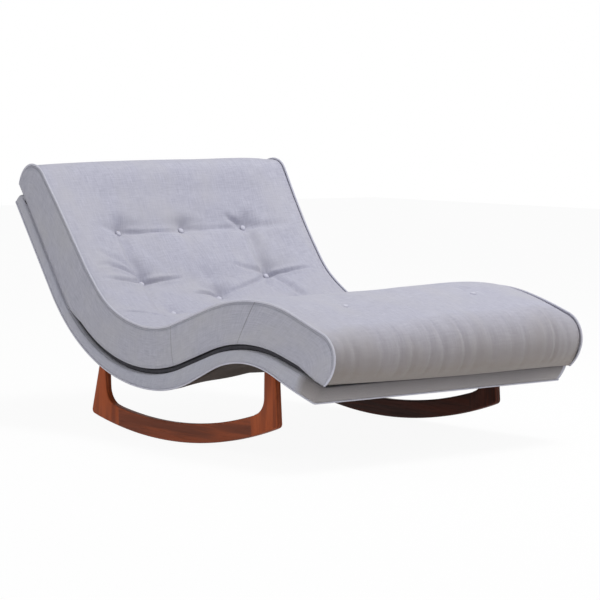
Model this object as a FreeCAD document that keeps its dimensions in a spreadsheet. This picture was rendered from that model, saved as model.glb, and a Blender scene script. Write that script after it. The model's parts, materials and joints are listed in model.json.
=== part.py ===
import FreeCAD, Part
import math
import os
from FreeCAD import Placement, Rotation, Vector

# Rocking chaise lounge, in millimetres. X runs from the head to the foot, Y across the
# width and Z up from the floor. X dimensions in the sheet are measured from the seat's
# low point, and datumX moves them so that the origin is under the middle of the length.
# The pieces are drawn with the legs upright. Left alone, the chair rocks back until its
# weight is over the soles' lowest point, and restTilt turns the finished pieces to that rest.

doc = FreeCAD.newDocument("RockingChaise")

sheet = doc.addObject("Spreadsheet::Sheet", "sizes")
driving = [
    ("datumX", 111.6, "from the seat's low point to the middle of the length"),
    ("deckHalfWidth", 510, "outer face of the upholstered deck"),
    ("deckHeadX", -662, "head end of the deck's top line"),
    ("deckHeadZ", 759, "height of that end"),
    ("backSlope", 58.5, "fall of the back, degrees"),
    ("backRun", 360, "straight part of the back"),
    ("seatRadius", 520, "hollow of the seat"),
    ("kneeRise", 17, "rise from the seat to the knees, degrees"),
    ("kneeRun", 140, "straight part below the knees"),
    ("kneeRadius", 480, "hump under the knees"),
    ("legFall", 20, "fall of the leg rest, degrees"),
    ("legRun", 192, "straight part of the leg rest"),
    ("underHeadX", -690, "head end of the deck's bottom line"),
    ("underHeadZ", 738, "height of that end"),
    ("underBackRun", 339, "straight part under the back"),
    ("underSeatRadius", 607.5, "under the seat, falling side"),
    ("underRiseRadius", 440, "under the seat, rising side"),
    ("underRise", 22, "rise of the underside, degrees"),
    ("underRun", 100, "straight part of that rise"),
    ("underKneeRadius", 341, "under the knees"),
    ("underFall", 26, "steepest fall past the knees, degrees"),
    ("underToeRadius", 1725, "flattening towards the foot"),
    ("bandThick", 5, "padded cloth band round the deck"),
    ("railThick", 20, "plywood side rails"),
    ("crossThick", 22, "cross rails"),
    ("headRailDepth", 17, "boards across the deck"),
    ("backRailDepth", 15, "boards across the deck"),
    ("seatRailDepth", 24, "boards across the deck"),
    ("kneeRailDepth", 14, "boards across the deck"),
    ("footRailDepth", 30, "boards across the deck"),
    ("rockerRailWidth", 70, "boards that the rockers bolt to"),
    ("rearRockerDepth", 17, "board over the rear legs"),
    ("frontRockerDepth", 13, "board over the front legs"),
    ("railDrop", 9, "boards below the deck's top line"),
    ("blockLeg", 55, "glued corner blocks"),
    ("deckCloth", 2, "charcoal decking cloth"),
    ("strapWidth", 50, "elastic webbing"),
    ("strapThick", 2, "elastic webbing"),
    ("strapPitch", 82, "spacing of the webbing"),
    ("padRise", 16, "decking pad between deck and cushion"),
    ("padHalfWidth", 492, "decking pad"),
    ("padTaper", 55, "feathered ends of the pad"),
    ("padHeadRun", 392, "head end of the pad along the deck"),
    ("padFootGap", 40, "foot end of the pad from the deck's end"),
    ("cushionHalfWidth", 500, "outer face of the boxing"),
    ("boxingThick", 3, "cloth boxing with its lining"),
    ("boxingTop", 138, "piping height above the deck"),
    ("noseRadius", 70, "rounded ends of the boxing"),
    ("headNoseRun", 16, "where the head nose begins, along the deck"),
    ("footNoseGap", 56, "where the foot nose begins, from the deck's end"),
    ("headTuck", 22, "how far the head nose turns back under itself"),
    ("footTuck", 10, "how far the foot nose turns back under itself"),
    ("crownHead", 12, "crown of the cushion over its piping, at the head nose"),
    ("crownBack", 30, "crown behind the shoulders"),
    ("crownSeat", 38, "crown in the seat"),
    ("crownKnee", 14, "crown at the knees"),
    ("crownLeg", 16, "crown on the leg rest"),
    ("crownFoot", 26, "crown of the foot nose"),
    ("coreTop", 62, "top of the firm foam core above the deck"),
    ("coreInset", 8, "gap left in the filling round the core's ends"),
    ("basePanel", 2, "lining cloth under the cushion"),
    ("pipingRadius", 3.2, "cord piping"),
    ("weltRadius", 2.6, "welt along the deck's lower edge"),
    ("tuftColumn", 261, "side columns of tufts"),
    ("tuftDepth", 66, "depth of a tuft"),
    ("tuftSpread", 58, "reach of a tuft's hollow"),
    ("topStep", 52, "longest straight stretch drawn on the tufted top"),
    ("creaseDepth", 16, "crease between tufts in one row"),
    ("creaseSpread", 34, "reach of that crease"),
    ("buttonRadius", 10, "covered buttons"),
    ("buttonHeight", 6, "covered buttons"),
    ("twineRadius", 1.2, "tufting twine"),
    ("toggleRadius", 11, "back buttons under the foam"),
    ("rockerFace", 473, "outer face of a rocker"),
    ("rockerThick", 26, "thickness of a rocker"),
    ("soleCentreX", 75, "lowest point of the soles"),
    ("soleRadius", 1435, "curve that the chair rocks on"),
    ("soleDepth", 58, "height of the sole rail"),
    ("soleRearX", -371, "rear corner of a rocker"),
    ("soleFrontX", 504, "front corner of a rocker"),
    ("rearTopX", -315, "rear leg at the deck, back edge"),
    ("rearTopWidth", 22, "rear leg at the deck"),
    ("rearFootWidth", 140, "rear leg at the sole rail"),
    ("rearCrook", 58, "inside corner of the rear leg"),
    ("frontTopX", 500, "front leg at the deck, front edge"),
    ("frontTopWidth", 44, "front leg at the deck"),
    ("frontFootWidth", 112, "front leg at the sole rail"),
    ("frontCrook", 54, "inside corner of the front leg"),
    ("frontTopInset", 8, "taper of the front leg's inner edge"),
    ("cornerRadius", 14, "rounded corners of a rocker"),
    ("edgeEase", 3.5, "eased edges of a rocker"),
    ("dowelRadius", 5, "glued dowels"),
    ("dowelLength", 60, "glued dowels"),
    ("screwRadius", 3, "dowel screws from the legs into the planks"),
    ("screwLength", 64, "dowel screws from the legs into the planks"),
    ("screwSpacing", 9, "two dowel screws in each leg"),
    ("dustSheet", 1.2, "dust cover under the deck"),
    ("restTilt", 3.4, "how far the chair rocks back to its rest, degrees"),
]
for row, (alias, value, note) in enumerate(driving, start=1):
    sheet.set("A%d" % row, note)
    sheet.set("B%d" % row, str(value))
    sheet.setAlias("B%d" % row, alias)
for row, run in enumerate((200, 415, 528, 640, 850, 1050, 1240, 1400), start=1):
    sheet.set("C%d" % row, str(run))
    sheet.setAlias("C%d" % row, "tuftRun" + "ABCDEFGH"[row - 1])
doc.recompute()


def size(alias):
    return float(sheet.get(alias))


datum = size("datumX")
deck_half = size("deckHalfWidth")
cushion_half = size("cushionHalfWidth")
boxing_inner = cushion_half - size("boxingThick")
band = size("bandThick")
rail_outer = deck_half - band
rail_inner = rail_outer - size("railThick")
pad_rise = size("padRise")

made = []


def add_shape(name, shape):
    """One sub-part whose form is worked out below from the sheet's values."""
    piece = doc.addObject("Part::Feature", name)
    piece.Shape = shape
    piece.Label = name
    made.append(piece)
    return piece


class Chain:
    """A run of lines and arcs that join smoothly in the XZ plane.

    run is the length along it and rise the distance square to it, up being positive.
    A radius above zero hollows the run, and one below zero humps it.
    """

    def __init__(self, x, z, heading, pieces):
        self.parts = []
        self.length = 0.0
        place = Vector(x - datum, 0, z)
        angle = math.radians(heading)
        for radius, amount in pieces:
            if radius == 0:
                length = amount
                turn = 0.0
            else:
                turn = math.radians(amount) - angle
                length = abs(turn * radius)
            self.parts.append((self.length, length, place, angle, radius))
            place = self.walk(place, angle, radius, length, 0.0)
            angle = angle + turn
            self.length = self.length + length

    def walk(self, place, angle, radius, run, rise):
        along = Vector(math.cos(angle), 0, math.sin(angle))
        up = Vector(-math.sin(angle), 0, math.cos(angle))
        if radius == 0:
            return place + along * run + up * rise
        centre = place + up * radius
        swept = angle + run / radius
        spoke = Vector(math.sin(swept), 0, -math.cos(swept))
        return centre + spoke * (radius - rise)

    def find(self, run):
        for part in self.parts:
            if run < part[0] + part[1]:
                return part
        return self.parts[-1]

    def at(self, run, rise, y=0.0):
        start, length, place, angle, radius = self.find(run)
        point = self.walk(place, angle, radius, run - start, rise)
        return Vector(point.x, y, point.z)

    def heading(self, run):
        start, length, place, angle, radius = self.find(run)
        if radius == 0:
            return angle
        return angle + (run - start) / radius

    def edges(self, first, last, rise, y=0.0):
        """Edges at one rise from run first to run last, split where the chain changes."""
        out = []
        for start, length, place, angle, radius in self.parts:
            low = max(first, start)
            high = min(last, start + length)
            if start == 0:
                low = first
            if start + length >= self.length:
                high = last
            if high - low < 0.01:
                continue
            a = self.at(low + 1e-6, rise, y)
            b = self.at(high - 1e-6, rise, y)
            if radius == 0:
                out.append(Part.LineSegment(a, b).toShape())
            else:
                middle = self.at((low + high) / 2, rise, y)
                out.append(Part.Arc(a, middle, b).toShape())
        return out


def line(a, b):
    return Part.LineSegment(a, b).toShape()


def arc(a, b, c):
    return Part.Arc(a, b, c).toShape()


def joined(edges, closed):
    """Edges given in order, remade so that each starts exactly where the last one ends."""
    ends = [[edge.Vertexes[0].Point, edge.Vertexes[-1].Point] for edge in edges]
    ahead = ends[1]
    if min((ends[0][0] - point).Length for point in ahead) < min(
            (ends[0][1] - point).Length for point in ahead):
        ends[0].reverse()
    for last, this in zip(ends, ends[1:]):
        if (this[0] - last[1]).Length > (this[1] - last[1]).Length:
            this.reverse()
    out = []
    for index, edge in enumerate(edges):
        start = ends[index - 1][1] if closed or index > 0 else ends[0][0]
        stop = ends[index][1]
        if edge.Curve.TypeId == "Part::GeomLine":
            out.append(line(start, stop))
        else:
            middle = edge.valueAt((edge.FirstParameter + edge.LastParameter) / 2)
            out.append(arc(start, middle, stop))
    return out


def closed_face(edges):
    return Part.Face(Part.Wire(joined(edges, True)))


def extruded(face, width):
    return face.extrude(Vector(0, width, 0))


deck_top = Chain(size("deckHeadX"), size("deckHeadZ"), -size("backSlope"), [
    (0, size("backRun")),
    (size("seatRadius"), size("kneeRise")),
    (0, size("kneeRun")),
    (-size("kneeRadius"), -size("legFall")),
    (0, size("legRun")),
])
deck_under = Chain(size("underHeadX"), size("underHeadZ"), -size("backSlope"), [
    (0, size("underBackRun")),
    (size("underSeatRadius"), 0),
    (size("underRiseRadius"), size("underRise")),
    (0, size("underRun")),
    (-size("underKneeRadius"), -size("underFall")),
    (size("underToeRadius"), -size("legFall")),
])


def strip(chain, first, last, low, high, y_low, y_high):
    """A slab that follows a chain, between two rises and two widths."""
    lower = chain.edges(first, last, low, y_low)
    upper = chain.edges(first, last, high, y_low)
    upper.reverse()
    edges = lower + [line(chain.at(last, low, y_low), chain.at(last, high, y_low))]
    edges = edges + upper + [line(chain.at(first, high, y_low), chain.at(first, low, y_low))]
    return extruded(closed_face(edges), y_high - y_low)


def deck_plate(inset, y_low, y_high):
    """The deck's side outline, drawn in by inset all round, with a rounded head end."""
    top = deck_top.edges(inset, deck_top.length - inset, -inset, y_low)
    under = deck_under.edges(inset, deck_under.length - inset, inset, y_low)
    head_low = deck_under.at(inset, inset, y_low)
    head_high = deck_top.at(inset, -inset, y_low)
    foot_low = deck_under.at(deck_under.length - inset, inset, y_low)
    foot_high = deck_top.at(deck_top.length - inset, -inset, y_low)
    back = Vector(-math.cos(deck_top.heading(0)), 0, -math.sin(deck_top.heading(0)))
    bulge = (head_low + head_high) * 0.5 + back * (head_high - head_low).Length * 0.35
    top.reverse()
    edges = under + [line(foot_low, foot_high)] + top + [arc(head_high, bulge, head_low)]
    return extruded(closed_face(edges), y_high - y_low)


def group(name, members):
    """Separate solids of one kind under one name."""
    together = doc.addObject("Part::Compound", name)
    together.Links = members
    together.Label = name
    made.append(together)
    return together


def square_to(chain, run):
    return Rotation(Vector(0, 1, 0), -math.degrees(chain.heading(run)))


def board(name, run, along, depth, half_width):
    """A board across the deck, square to its top line and centred on one run."""
    piece = doc.addObject("Part::Box", name)
    piece.Label = name
    piece.setExpression("Length", "sizes." + along)
    piece.setExpression("Height", "sizes." + depth)
    piece.Width = half_width * 2
    drop = -size("railDrop") - size(depth)
    shift = square_to(deck_top, run).multVec(Vector(-size(along) / 2, 0, 0))
    corner = deck_top.at(run, drop, -half_width) + shift
    piece.Placement = Placement(corner, square_to(deck_top, run))
    return piece


def run_over(chain, x):
    """The run at which a chain passes over an X position."""
    low = 0.0
    high = chain.length
    for step in range(40):
        middle = (low + high) / 2
        if chain.at(middle, 0).x < x - datum:
            low = middle
        else:
            high = middle
    return low


deck_end = deck_top.length

# Deck frame: two sawn plywood sides, boards across them and glue blocks in the corners
board_runs = (
    ("head_rail", 24, "crossThick", "headRailDepth"),
    ("back_rail", 200, "crossThick", "backRailDepth"),
    ("seat_rail", run_over(deck_top, -150), "crossThick", "seatRailDepth"),
    ("knee_rail", run_over(deck_top, 330), "crossThick", "kneeRailDepth"),
    ("foot_rail", deck_end - 26, "crossThick", "footRailDepth"),
)
for name, run, along, depth in board_runs:
    made.append(board(name, run, along, depth, rail_inner))
for side, low in (("left", rail_inner), ("right", -rail_outer)):
    add_shape("side_rail_" + side, deck_plate(band, low, low + size("railThick")))

blocks = []
for run, depth, turn in ((36, "headRailDepth", 1), (deck_end - 38, "footRailDepth", -1)):
    for side in (1, -1):
        leg = size("blockLeg")
        corner = Vector(0, side * (rail_inner - 0.1), 0)
        points = [corner, corner + Vector(turn * leg, 0, 0), corner - Vector(0, side * leg, 0)]
        face = Part.Face(Part.makePolygon(points + [corner]))
        block = doc.addObject("Part::Feature", "corner_block")
        block.Shape = face.extrude(Vector(0, 0, size(depth) - 2))
        lift = -size("railDrop") - size(depth) + 1
        block.Placement = Placement(deck_top.at(run, lift), square_to(deck_top, run))
        blocks.append(block)
group("corner_blocks", blocks)

# Springing: elastic webbing across the sides, with the decking cloth over it
straps = []
strap_count = int((deck_end - 90) / size("strapPitch"))
for index in range(strap_count):
    run = 62 + index * size("strapPitch")
    strap = doc.addObject("Part::Box", "webbing_strap")
    strap.setExpression("Length", "sizes.strapWidth")
    strap.setExpression("Height", "sizes.strapThick")
    strap.Width = rail_outer * 2 - 8
    corner = deck_top.at(run, -band + 0.1, -rail_outer + 4)
    shift = square_to(deck_top, run).multVec(Vector(-size("strapWidth") / 2, 0, 0))
    strap.Placement = Placement(corner + shift, square_to(deck_top, run))
    straps.append(strap)
group("webbing_straps", straps)
cloth_low = -band + size("strapThick") + 0.8
add_shape("decking_cloth", strip(
    deck_top, 8, deck_end - 8, cloth_low, cloth_low + size("deckCloth"), -rail_outer, rail_outer))

# Padded cloth bands round the deck, with a welt along the lower edge
for side, low in (("left", rail_outer), ("right", -deck_half)):
    add_shape("deck_band_" + side, deck_plate(0, low, low + band))


def end_band(top_run, under_run, inward):
    corners = [
        deck_under.at(under_run, 0, -rail_outer),
        deck_top.at(top_run, 0, -rail_outer),
        deck_top.at(top_run + inward, -0.4, -rail_outer),
        deck_under.at(under_run + inward, 0.4, -rail_outer),
    ]
    face = Part.Face(Part.makePolygon(corners + corners[:1]))
    return extruded(face, rail_outer * 2)


add_shape("deck_band_head", end_band(0, 0, band - 0.5))
add_shape("deck_band_foot", end_band(deck_end, deck_under.length, -band + 0.5))


cord_sides = 6


def pipe(edges, radius):
    """Cord along edges that join smoothly, its round section drawn with a few flat sides."""
    edges = joined(edges, False)
    path = Part.Wire(edges)
    first = edges[0]
    start = first.valueAt(first.FirstParameter)
    across = Vector(0, 1, 0)
    outward = across.cross(first.tangentAt(first.FirstParameter))
    corners = []
    for index in range(cord_sides):
        angle = 2 * math.pi * index / cord_sides
        corners.append(start + (across * math.cos(angle) + outward * math.sin(angle)) * radius)
    return path.makePipeShell([Part.makePolygon(corners + corners[:1])], True, False)


welt = size("weltRadius")
for side, across in (("left", 1), ("right", -1)):
    line_y = across * (deck_half - welt)
    edges = deck_under.edges(0, deck_under.length, -welt - 0.1, line_y)
    add_shape("deck_welt_" + side, pipe(edges, welt))

# Cushion: firm core, crowned and tufted topper, boxing, base lining and piping
floor_gap = 0.6
pad_head = size("padHeadRun")
pad_foot = deck_end - size("padFootGap")
pad_taper = size("padTaper")


def floor_edges(first, last, extra, y):
    """The cushion's underside: on the deck at both ends and over the decking pad."""
    low = floor_gap + extra
    high = pad_rise + low
    edges = deck_top.edges(first, pad_head, low, y)
    edges.append(line(deck_top.at(pad_head, low, y), deck_top.at(pad_head + pad_taper, high, y)))
    edges += deck_top.edges(pad_head + pad_taper, pad_foot - pad_taper, high, y)
    edges.append(line(deck_top.at(pad_foot - pad_taper, high, y), deck_top.at(pad_foot, low, y)))
    edges += deck_top.edges(pad_foot, last, low, y)
    return edges


pad_y = -size("padHalfWidth")
pad_top = floor_edges(pad_head - 1, pad_foot + 1, -0.3, pad_y)
pad_top.reverse()
pad_under = deck_top.edges(pad_head - 1, pad_foot + 1, 0.0, pad_y)
pad_toe = line(deck_top.at(pad_foot + 1, 0.0, pad_y), deck_top.at(pad_foot + 1, 0.3, pad_y))
pad_heel = line(deck_top.at(pad_head - 1, 0.3, pad_y), deck_top.at(pad_head - 1, 0.0, pad_y))
pad_face = closed_face(pad_under + [pad_toe] + pad_top + [pad_heel])
add_shape("decking_pad", extruded(pad_face, size("padHalfWidth") * 2))

boxing_top = size("boxingTop")
nose = size("noseRadius")
head_centre = size("headNoseRun")
foot_centre = deck_end - size("footNoseGap")


def nose_edges(centre, outward, grow, low, tuck, y):
    """A cushion end: a quarter turn down from the top, then an arc turned in below."""
    reach = nose + grow
    waist = boxing_top - nose
    half = math.sqrt(0.5) * reach
    top = deck_top.at(centre, waist + reach, y)
    shoulder = deck_top.at(centre + outward * half, waist + half, y)
    side = deck_top.at(centre + outward * reach, waist, y)
    across = reach - nose + tuck
    fall = waist - low
    radius = (across ** 2 + fall ** 2) / (2 * across)
    swept = math.atan2(fall, radius - across)
    hub = centre + outward * (reach - radius)
    belly = deck_top.at(
        hub + outward * radius * math.cos(swept / 2), waist - radius * math.sin(swept / 2), y)
    toe = deck_top.at(hub + outward * radius * math.cos(swept), low, y)
    return [arc(top, shoulder, side), arc(side, belly, toe)]


def reversed_list(edges):
    return list(reversed(edges))


def outline(grow, low, y):
    """Head toe, head nose, top, foot nose, foot toe, from head to foot."""
    head = nose_edges(head_centre, -1, grow, low, size("headTuck"), y)
    foot = nose_edges(foot_centre, 1, grow, low, size("footTuck"), y)
    top = deck_top.edges(head_centre, foot_centre, boxing_top + grow, y)
    return reversed_list(head) + top + foot


head_toe = head_centre - nose + size("headTuck")
foot_toe = foot_centre + nose - size("footTuck")

for side, low in (("left", boxing_inner), ("right", -cushion_half)):
    rim = outline(0, floor_gap, low)
    under = reversed_list(floor_edges(head_toe, foot_toe, 0, low))
    add_shape("boxing_" + side, extruded(closed_face(rim + under), size("boxingThick")))

piping = size("pipingRadius")
for side, across in (("left", 1), ("right", -1)):
    cord = outline(piping + 0.2, floor_gap, across * (cushion_half - 1.5))
    add_shape("piping_" + side, pipe(cord, piping))


def layer(first, last, low, high_edges, y_low, y_high):
    """A slab between the cushion's underside and a given run of upper edges."""
    under = floor_edges(first, last, low, y_low)
    under_end = under[-1].Vertexes[-1].Point
    upper = reversed_list(high_edges)
    upper_start = high_edges[-1].Vertexes[-1].Point
    upper_end = high_edges[0].Vertexes[0].Point
    under_start = under[0].Vertexes[0].Point
    edges = under + [line(under_end, upper_start)] + upper + [line(upper_end, under_start)]
    return extruded(closed_face(edges), y_high - y_low)


base = size("basePanel")
panel_first = head_toe + 1
panel_last = foot_toe - 1
panel_top = floor_edges(panel_first, panel_last, base, -boxing_inner)
add_shape("base_panel", layer(panel_first, panel_last, 0, panel_top, -boxing_inner, boxing_inner))

core_gap = size("coreInset")
core_first = head_toe + core_gap
core_last = foot_toe - core_gap
core_top = size("coreTop")
core_half = boxing_inner - 0.5
core_upper = deck_top.edges(core_first, core_last, core_top, -core_half)
core = layer(core_first, core_last, base + 0.2, core_upper, -core_half, core_half)

column = size("tuftColumn")
outer_pair = (-column, column)
tuft_rows = (
    ("tuftRunA", (-column, 0, column)),
    ("tuftRunB", outer_pair),
    ("tuftRunC", (0,)),
    ("tuftRunD", outer_pair),
    ("tuftRunE", (0,)),
    ("tuftRunF", outer_pair),
    ("tuftRunG", (0,)),
    ("tuftRunH", outer_pair),
)
tufts = [(size(row), across) for row, places in tuft_rows for across in places]


crown_marks = (
    (head_centre, size("crownHead")),
    (size("tuftRunB"), size("crownBack")),
    (size("tuftRunD"), size("crownSeat")),
    (size("tuftRunF"), size("crownKnee")),
    (size("tuftRunH"), size("crownLeg")),
    (foot_centre, size("crownFoot")),
)


def crown(run, y):
    """Swell of the filling over the piping: fullest inside, falling away near the sides."""
    height = crown_marks[0][1]
    for (low, low_height), (high, high_height) in zip(crown_marks, crown_marks[1:]):
        if run >= low:
            share = min((run - low) / (high - low), 1)
            eased = (1 - math.cos(math.pi * share)) / 2
            height = low_height + (high_height - low_height) * eased
    return height * (1 - abs(y / boxing_inner) ** 5)


def top_rise(run, y):
    """Height of the tufted top over the deck."""
    sink = 0.0
    for tuft_run, tuft_y in tufts:
        away = ((run - tuft_run) ** 2 + (y - tuft_y) ** 2) / size("tuftSpread") ** 2
        sink = sink + size("tuftDepth") * math.exp(-away)
    top_row = size("tuftRunA")
    if abs(y) < column:
        crease = math.exp(-((run - top_row) / size("creaseSpread")) ** 2)
        between = 1 - math.cos(2 * math.pi * y / column)
        sink = sink + size("creaseDepth") * crease * between / 2
    return boxing_top + crown(run, y) - sink


def top_runs():
    """Where the tufted top is drawn: each row of tufts, and even steps between the rows."""
    marks = [head_centre] + sorted(set(run for run, across in tufts)) + [foot_centre]
    runs = [marks[0]]
    for low, high in zip(marks, marks[1:]):
        count = int(math.ceil((high - low) / size("topStep")))
        runs += [low + (high - low) * (index + 1) / count for index in range(count)]
    return runs


def nose_points(centre, outward, low, tuck, y):
    """The same cushion end as nose_edges, with its crown, as points from the top down."""
    quarter, belly = nose_edges(centre, outward, crown(centre, y), low, tuck, y)
    points = []
    for edge, steps in ((quarter, 5), (belly, 2)):
        first = edge.FirstParameter
        last = edge.LastParameter
        points += [edge.valueAt(first + (last - first) * step / steps) for step in range(steps)]
    return points + [belly.valueAt(belly.LastParameter)]


core_clear = 0.3
keel_rise = -6.0
keel_count = 14


def topper_section(y):
    """Outline of the cushion at one width. Its keel lies inside the space cut for the core."""
    low = floor_gap + base + 0.2
    head = nose_points(head_centre, -1, low, size("headTuck"), y)
    foot = nose_points(foot_centre, 1, low, size("footTuck"), y)
    top = [deck_top.at(run, top_rise(run, y), y) for run in top_runs()[1:-1]]
    keel = [deck_top.at(core_last - 1, low, y)]
    for index in range(keel_count + 1):
        run = core_last - 4 + (core_first - core_last + 8) * index / keel_count
        keel.append(deck_top.at(run, keel_rise, y))
    keel.append(deck_top.at(core_first + 1, low, y))
    return reversed_list(head) + top + foot + keel


def flat_faced(sections):
    """A solid through sections of as many points each, its sides made of flat triangles."""
    faces = [Part.Face(Part.makePolygon(ring + ring[:1])) for ring in (sections[0], sections[-1])]
    for near_ring, far_ring in zip(sections, sections[1:]):
        for index in range(len(near_ring)):
            after = (index + 1) % len(near_ring)
            a, b = near_ring[index], near_ring[after]
            c, d = far_ring[after], far_ring[index]
            if (a - c).Length < (b - d).Length:
                triangles = ((a, b, c), (a, c, d))
            else:
                triangles = ((a, b, d), (b, c, d))
            faces += [Part.Face(Part.makePolygon([u, v, w, u])) for u, v, w in triangles]
    shell = Part.Shell(faces)
    shell.sewShape()
    solid = Part.Solid(shell)
    if solid.Volume < 0:
        solid.reverse()
    return solid


half_stations = (0.0, 87, 174, column, 330, 400, 455, 483, boxing_inner)
stations = sorted(set([-y for y in half_stations] + list(half_stations)))
full_form = flat_faced([topper_section(y) for y in stations])
core_space = strip(
    deck_top, core_first - core_clear, core_last + core_clear, -20, core_top + core_clear,
    -cushion_half - 1, cushion_half + 1)
topper = full_form.cut(core_space)

# Tufting: covered buttons pulled down by twine to toggles under the core
twine = size("twineRadius")
toggle_rise = pad_rise + floor_gap + base + 0.4
buttons = []
twines = []
toggles = []
bores = []


def ring_at(run, across, rise, radius):
    """A ring of eight sides round one tuft, square to the deck."""
    along = (deck_top.at(run + 1, 0) - deck_top.at(run - 1, 0)).normalize()
    middle = deck_top.at(run, rise, across)
    corners = []
    for index in range(8):
        angle = 2 * math.pi * index / 8
        corners.append(
            middle + (along * math.cos(angle) + Vector(0, 1, 0) * math.sin(angle)) * radius)
    return Part.makePolygon(corners + corners[:1])


def prism(name, sides, radius, height, base_point, turn):
    """A round pin or disc, drawn with flat sides."""
    pin = doc.addObject("Part::Prism", name)
    pin.Polygon = sides
    pin.setExpression("Circumradius", "sizes." + radius)
    if isinstance(height, str):
        pin.setExpression("Height", "sizes." + height)
    else:
        pin.Height = height
    pin.Placement = Placement(base_point, turn)
    return pin


for run, across in tufts:
    seat = top_rise(run, across) + 1.0
    on_pad = pad_head + pad_taper < run < pad_foot - pad_taper
    foot_rise = toggle_rise if on_pad else toggle_rise - pad_rise
    turn = square_to(deck_top, run)
    cap = doc.addObject("Part::Feature", "tuft_button")
    cap.Shape = Part.makeLoft([
        ring_at(run, across, seat, size("buttonRadius") * 0.92),
        ring_at(run, across, seat + size("buttonHeight") * 0.4, size("buttonRadius")),
        ring_at(run, across, seat + size("buttonHeight"), size("buttonRadius") * 0.55),
    ], True, True)
    buttons.append(cap)
    bore_low = foot_rise + 2.6
    start = deck_top.at(run, bore_low, across)
    strand = prism("tufting_twine", 6, "twineRadius", seat - bore_low - 0.1, start, turn)
    twines.append(strand)
    bores.append(Part.makeLoft([
        ring_at(run, across, bore_low, twine + 0.4),
        ring_at(run, across, seat + 20, twine + 0.4)], True, True))
    disc = prism("back_button", 10, "toggleRadius", 2.4, deck_top.at(run, foot_rise, across), turn)
    toggles.append(disc)
    bores.append(Part.makeLoft([
        ring_at(run, across, foot_rise - 0.3, size("toggleRadius") + 0.4),
        ring_at(run, across, foot_rise + 2.7, size("toggleRadius") + 0.4)], True, True))
add_shape("foam_core", core.cut(bores))
add_shape("cushion_topper", topper.cut(bores))
group("tuft_buttons", buttons)
group("tufting_twines", twines)
group("back_buttons", toggles)

# Rockers: a rear leg, a curved sole rail and a front leg each, glued with dowels
sole_centre = Vector(size("soleCentreX") - datum, 0, size("soleRadius"))


def sole_point(x, rise):
    """A point over the sole's curve at one X, rise measured towards its centre."""
    radius = size("soleRadius") - rise
    across = x - datum - sole_centre.x
    return Vector(x - datum, 0, sole_centre.z - math.sqrt(radius ** 2 - across ** 2))


def under_deck(x):
    return deck_under.at(run_over(deck_under, x), 0)


rear_glue = size("soleRearX") + size("rearFootWidth")
front_glue = size("soleFrontX") - size("frontFootWidth")
sole_depth = size("soleDepth")


def sole_arc(x_from, x_to, rise):
    middle = sole_point((x_from + x_to) / 2, rise)
    return arc(sole_point(x_from, rise), middle, sole_point(x_to, rise))


def leg_outline(glue, corner, top_outer, top_inner, knee):
    """A leg down to the sole, with its short toe along the sole as far as the glue line."""
    return [
        line(under_deck(top_outer), sole_point(corner, 0)),
        sole_arc(corner, glue, 0),
        line(sole_point(glue, 0), sole_point(glue, sole_depth)),
        sole_arc(glue, knee, sole_depth),
        line(sole_point(knee, sole_depth), under_deck(top_inner)),
        line(under_deck(top_inner), under_deck(top_outer)),
    ]


rear_inner = size("rearTopX") + size("rearTopWidth")
front_inner = size("frontTopX") - size("frontTopWidth")
outlines = {
    "rear_leg": leg_outline(
        rear_glue, size("soleRearX"), size("rearTopX"), rear_inner, rear_inner),
    "front_leg": leg_outline(
        front_glue, size("soleFrontX"), size("frontTopX"), front_inner,
        front_inner - size("frontTopInset")),
    "sole_rail": [
        sole_arc(rear_glue, front_glue, 0),
        line(sole_point(front_glue, 0), sole_point(front_glue, sole_depth)),
        sole_arc(front_glue, rear_glue, sole_depth),
        line(sole_point(rear_glue, sole_depth), sole_point(rear_glue, 0)),
    ],
}
crooks = {
    "rear_leg": (
        sole_point(rear_inner, sole_depth), "rearCrook", sole_point(size("soleRearX"), 0)),
    "front_leg": (
        sole_point(front_inner - size("frontTopInset"), sole_depth), "frontCrook",
        sole_point(size("soleFrontX"), 0)),
}


def near(edge, place):
    """Whether an edge runs along Y past one place of the side view."""
    ends = [vertex.Point for vertex in edge.Vertexes]
    if len(ends) != 2 or abs(ends[0].x - ends[1].x) > 0.01 or abs(ends[0].z - ends[1].z) > 0.01:
        return False
    return math.hypot(ends[0].x - place.x, ends[0].z - place.z) < 0.5


def edge_names(shape, test):
    return ["Edge%d" % (index + 1) for index, edge in enumerate(shape.Edges) if test(edge)]


def rounded_side(edge):
    """Whether an edge lies in a rocker's broad face and isn't at a glue line or the deck."""
    ends = [vertex.Point for vertex in edge.Vertexes]
    if abs(ends[0].y - ends[-1].y) > 0.01:
        return False
    upright = abs(ends[0].x - ends[-1].x) < 0.01
    at_glue = min(abs(ends[0].x + datum - rear_glue), abs(ends[0].x + datum - front_glue)) < 0.01
    if upright and at_glue:
        return False
    tops = [under_deck(x) for x in (size("rearTopX"), rear_inner, front_inner, size("frontTopX"))]
    touching = [
        point for point in ends
        if min(math.hypot(point.x - top.x, point.z - top.z) for top in tops) < 0.01]
    return len(touching) < 2


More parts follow.
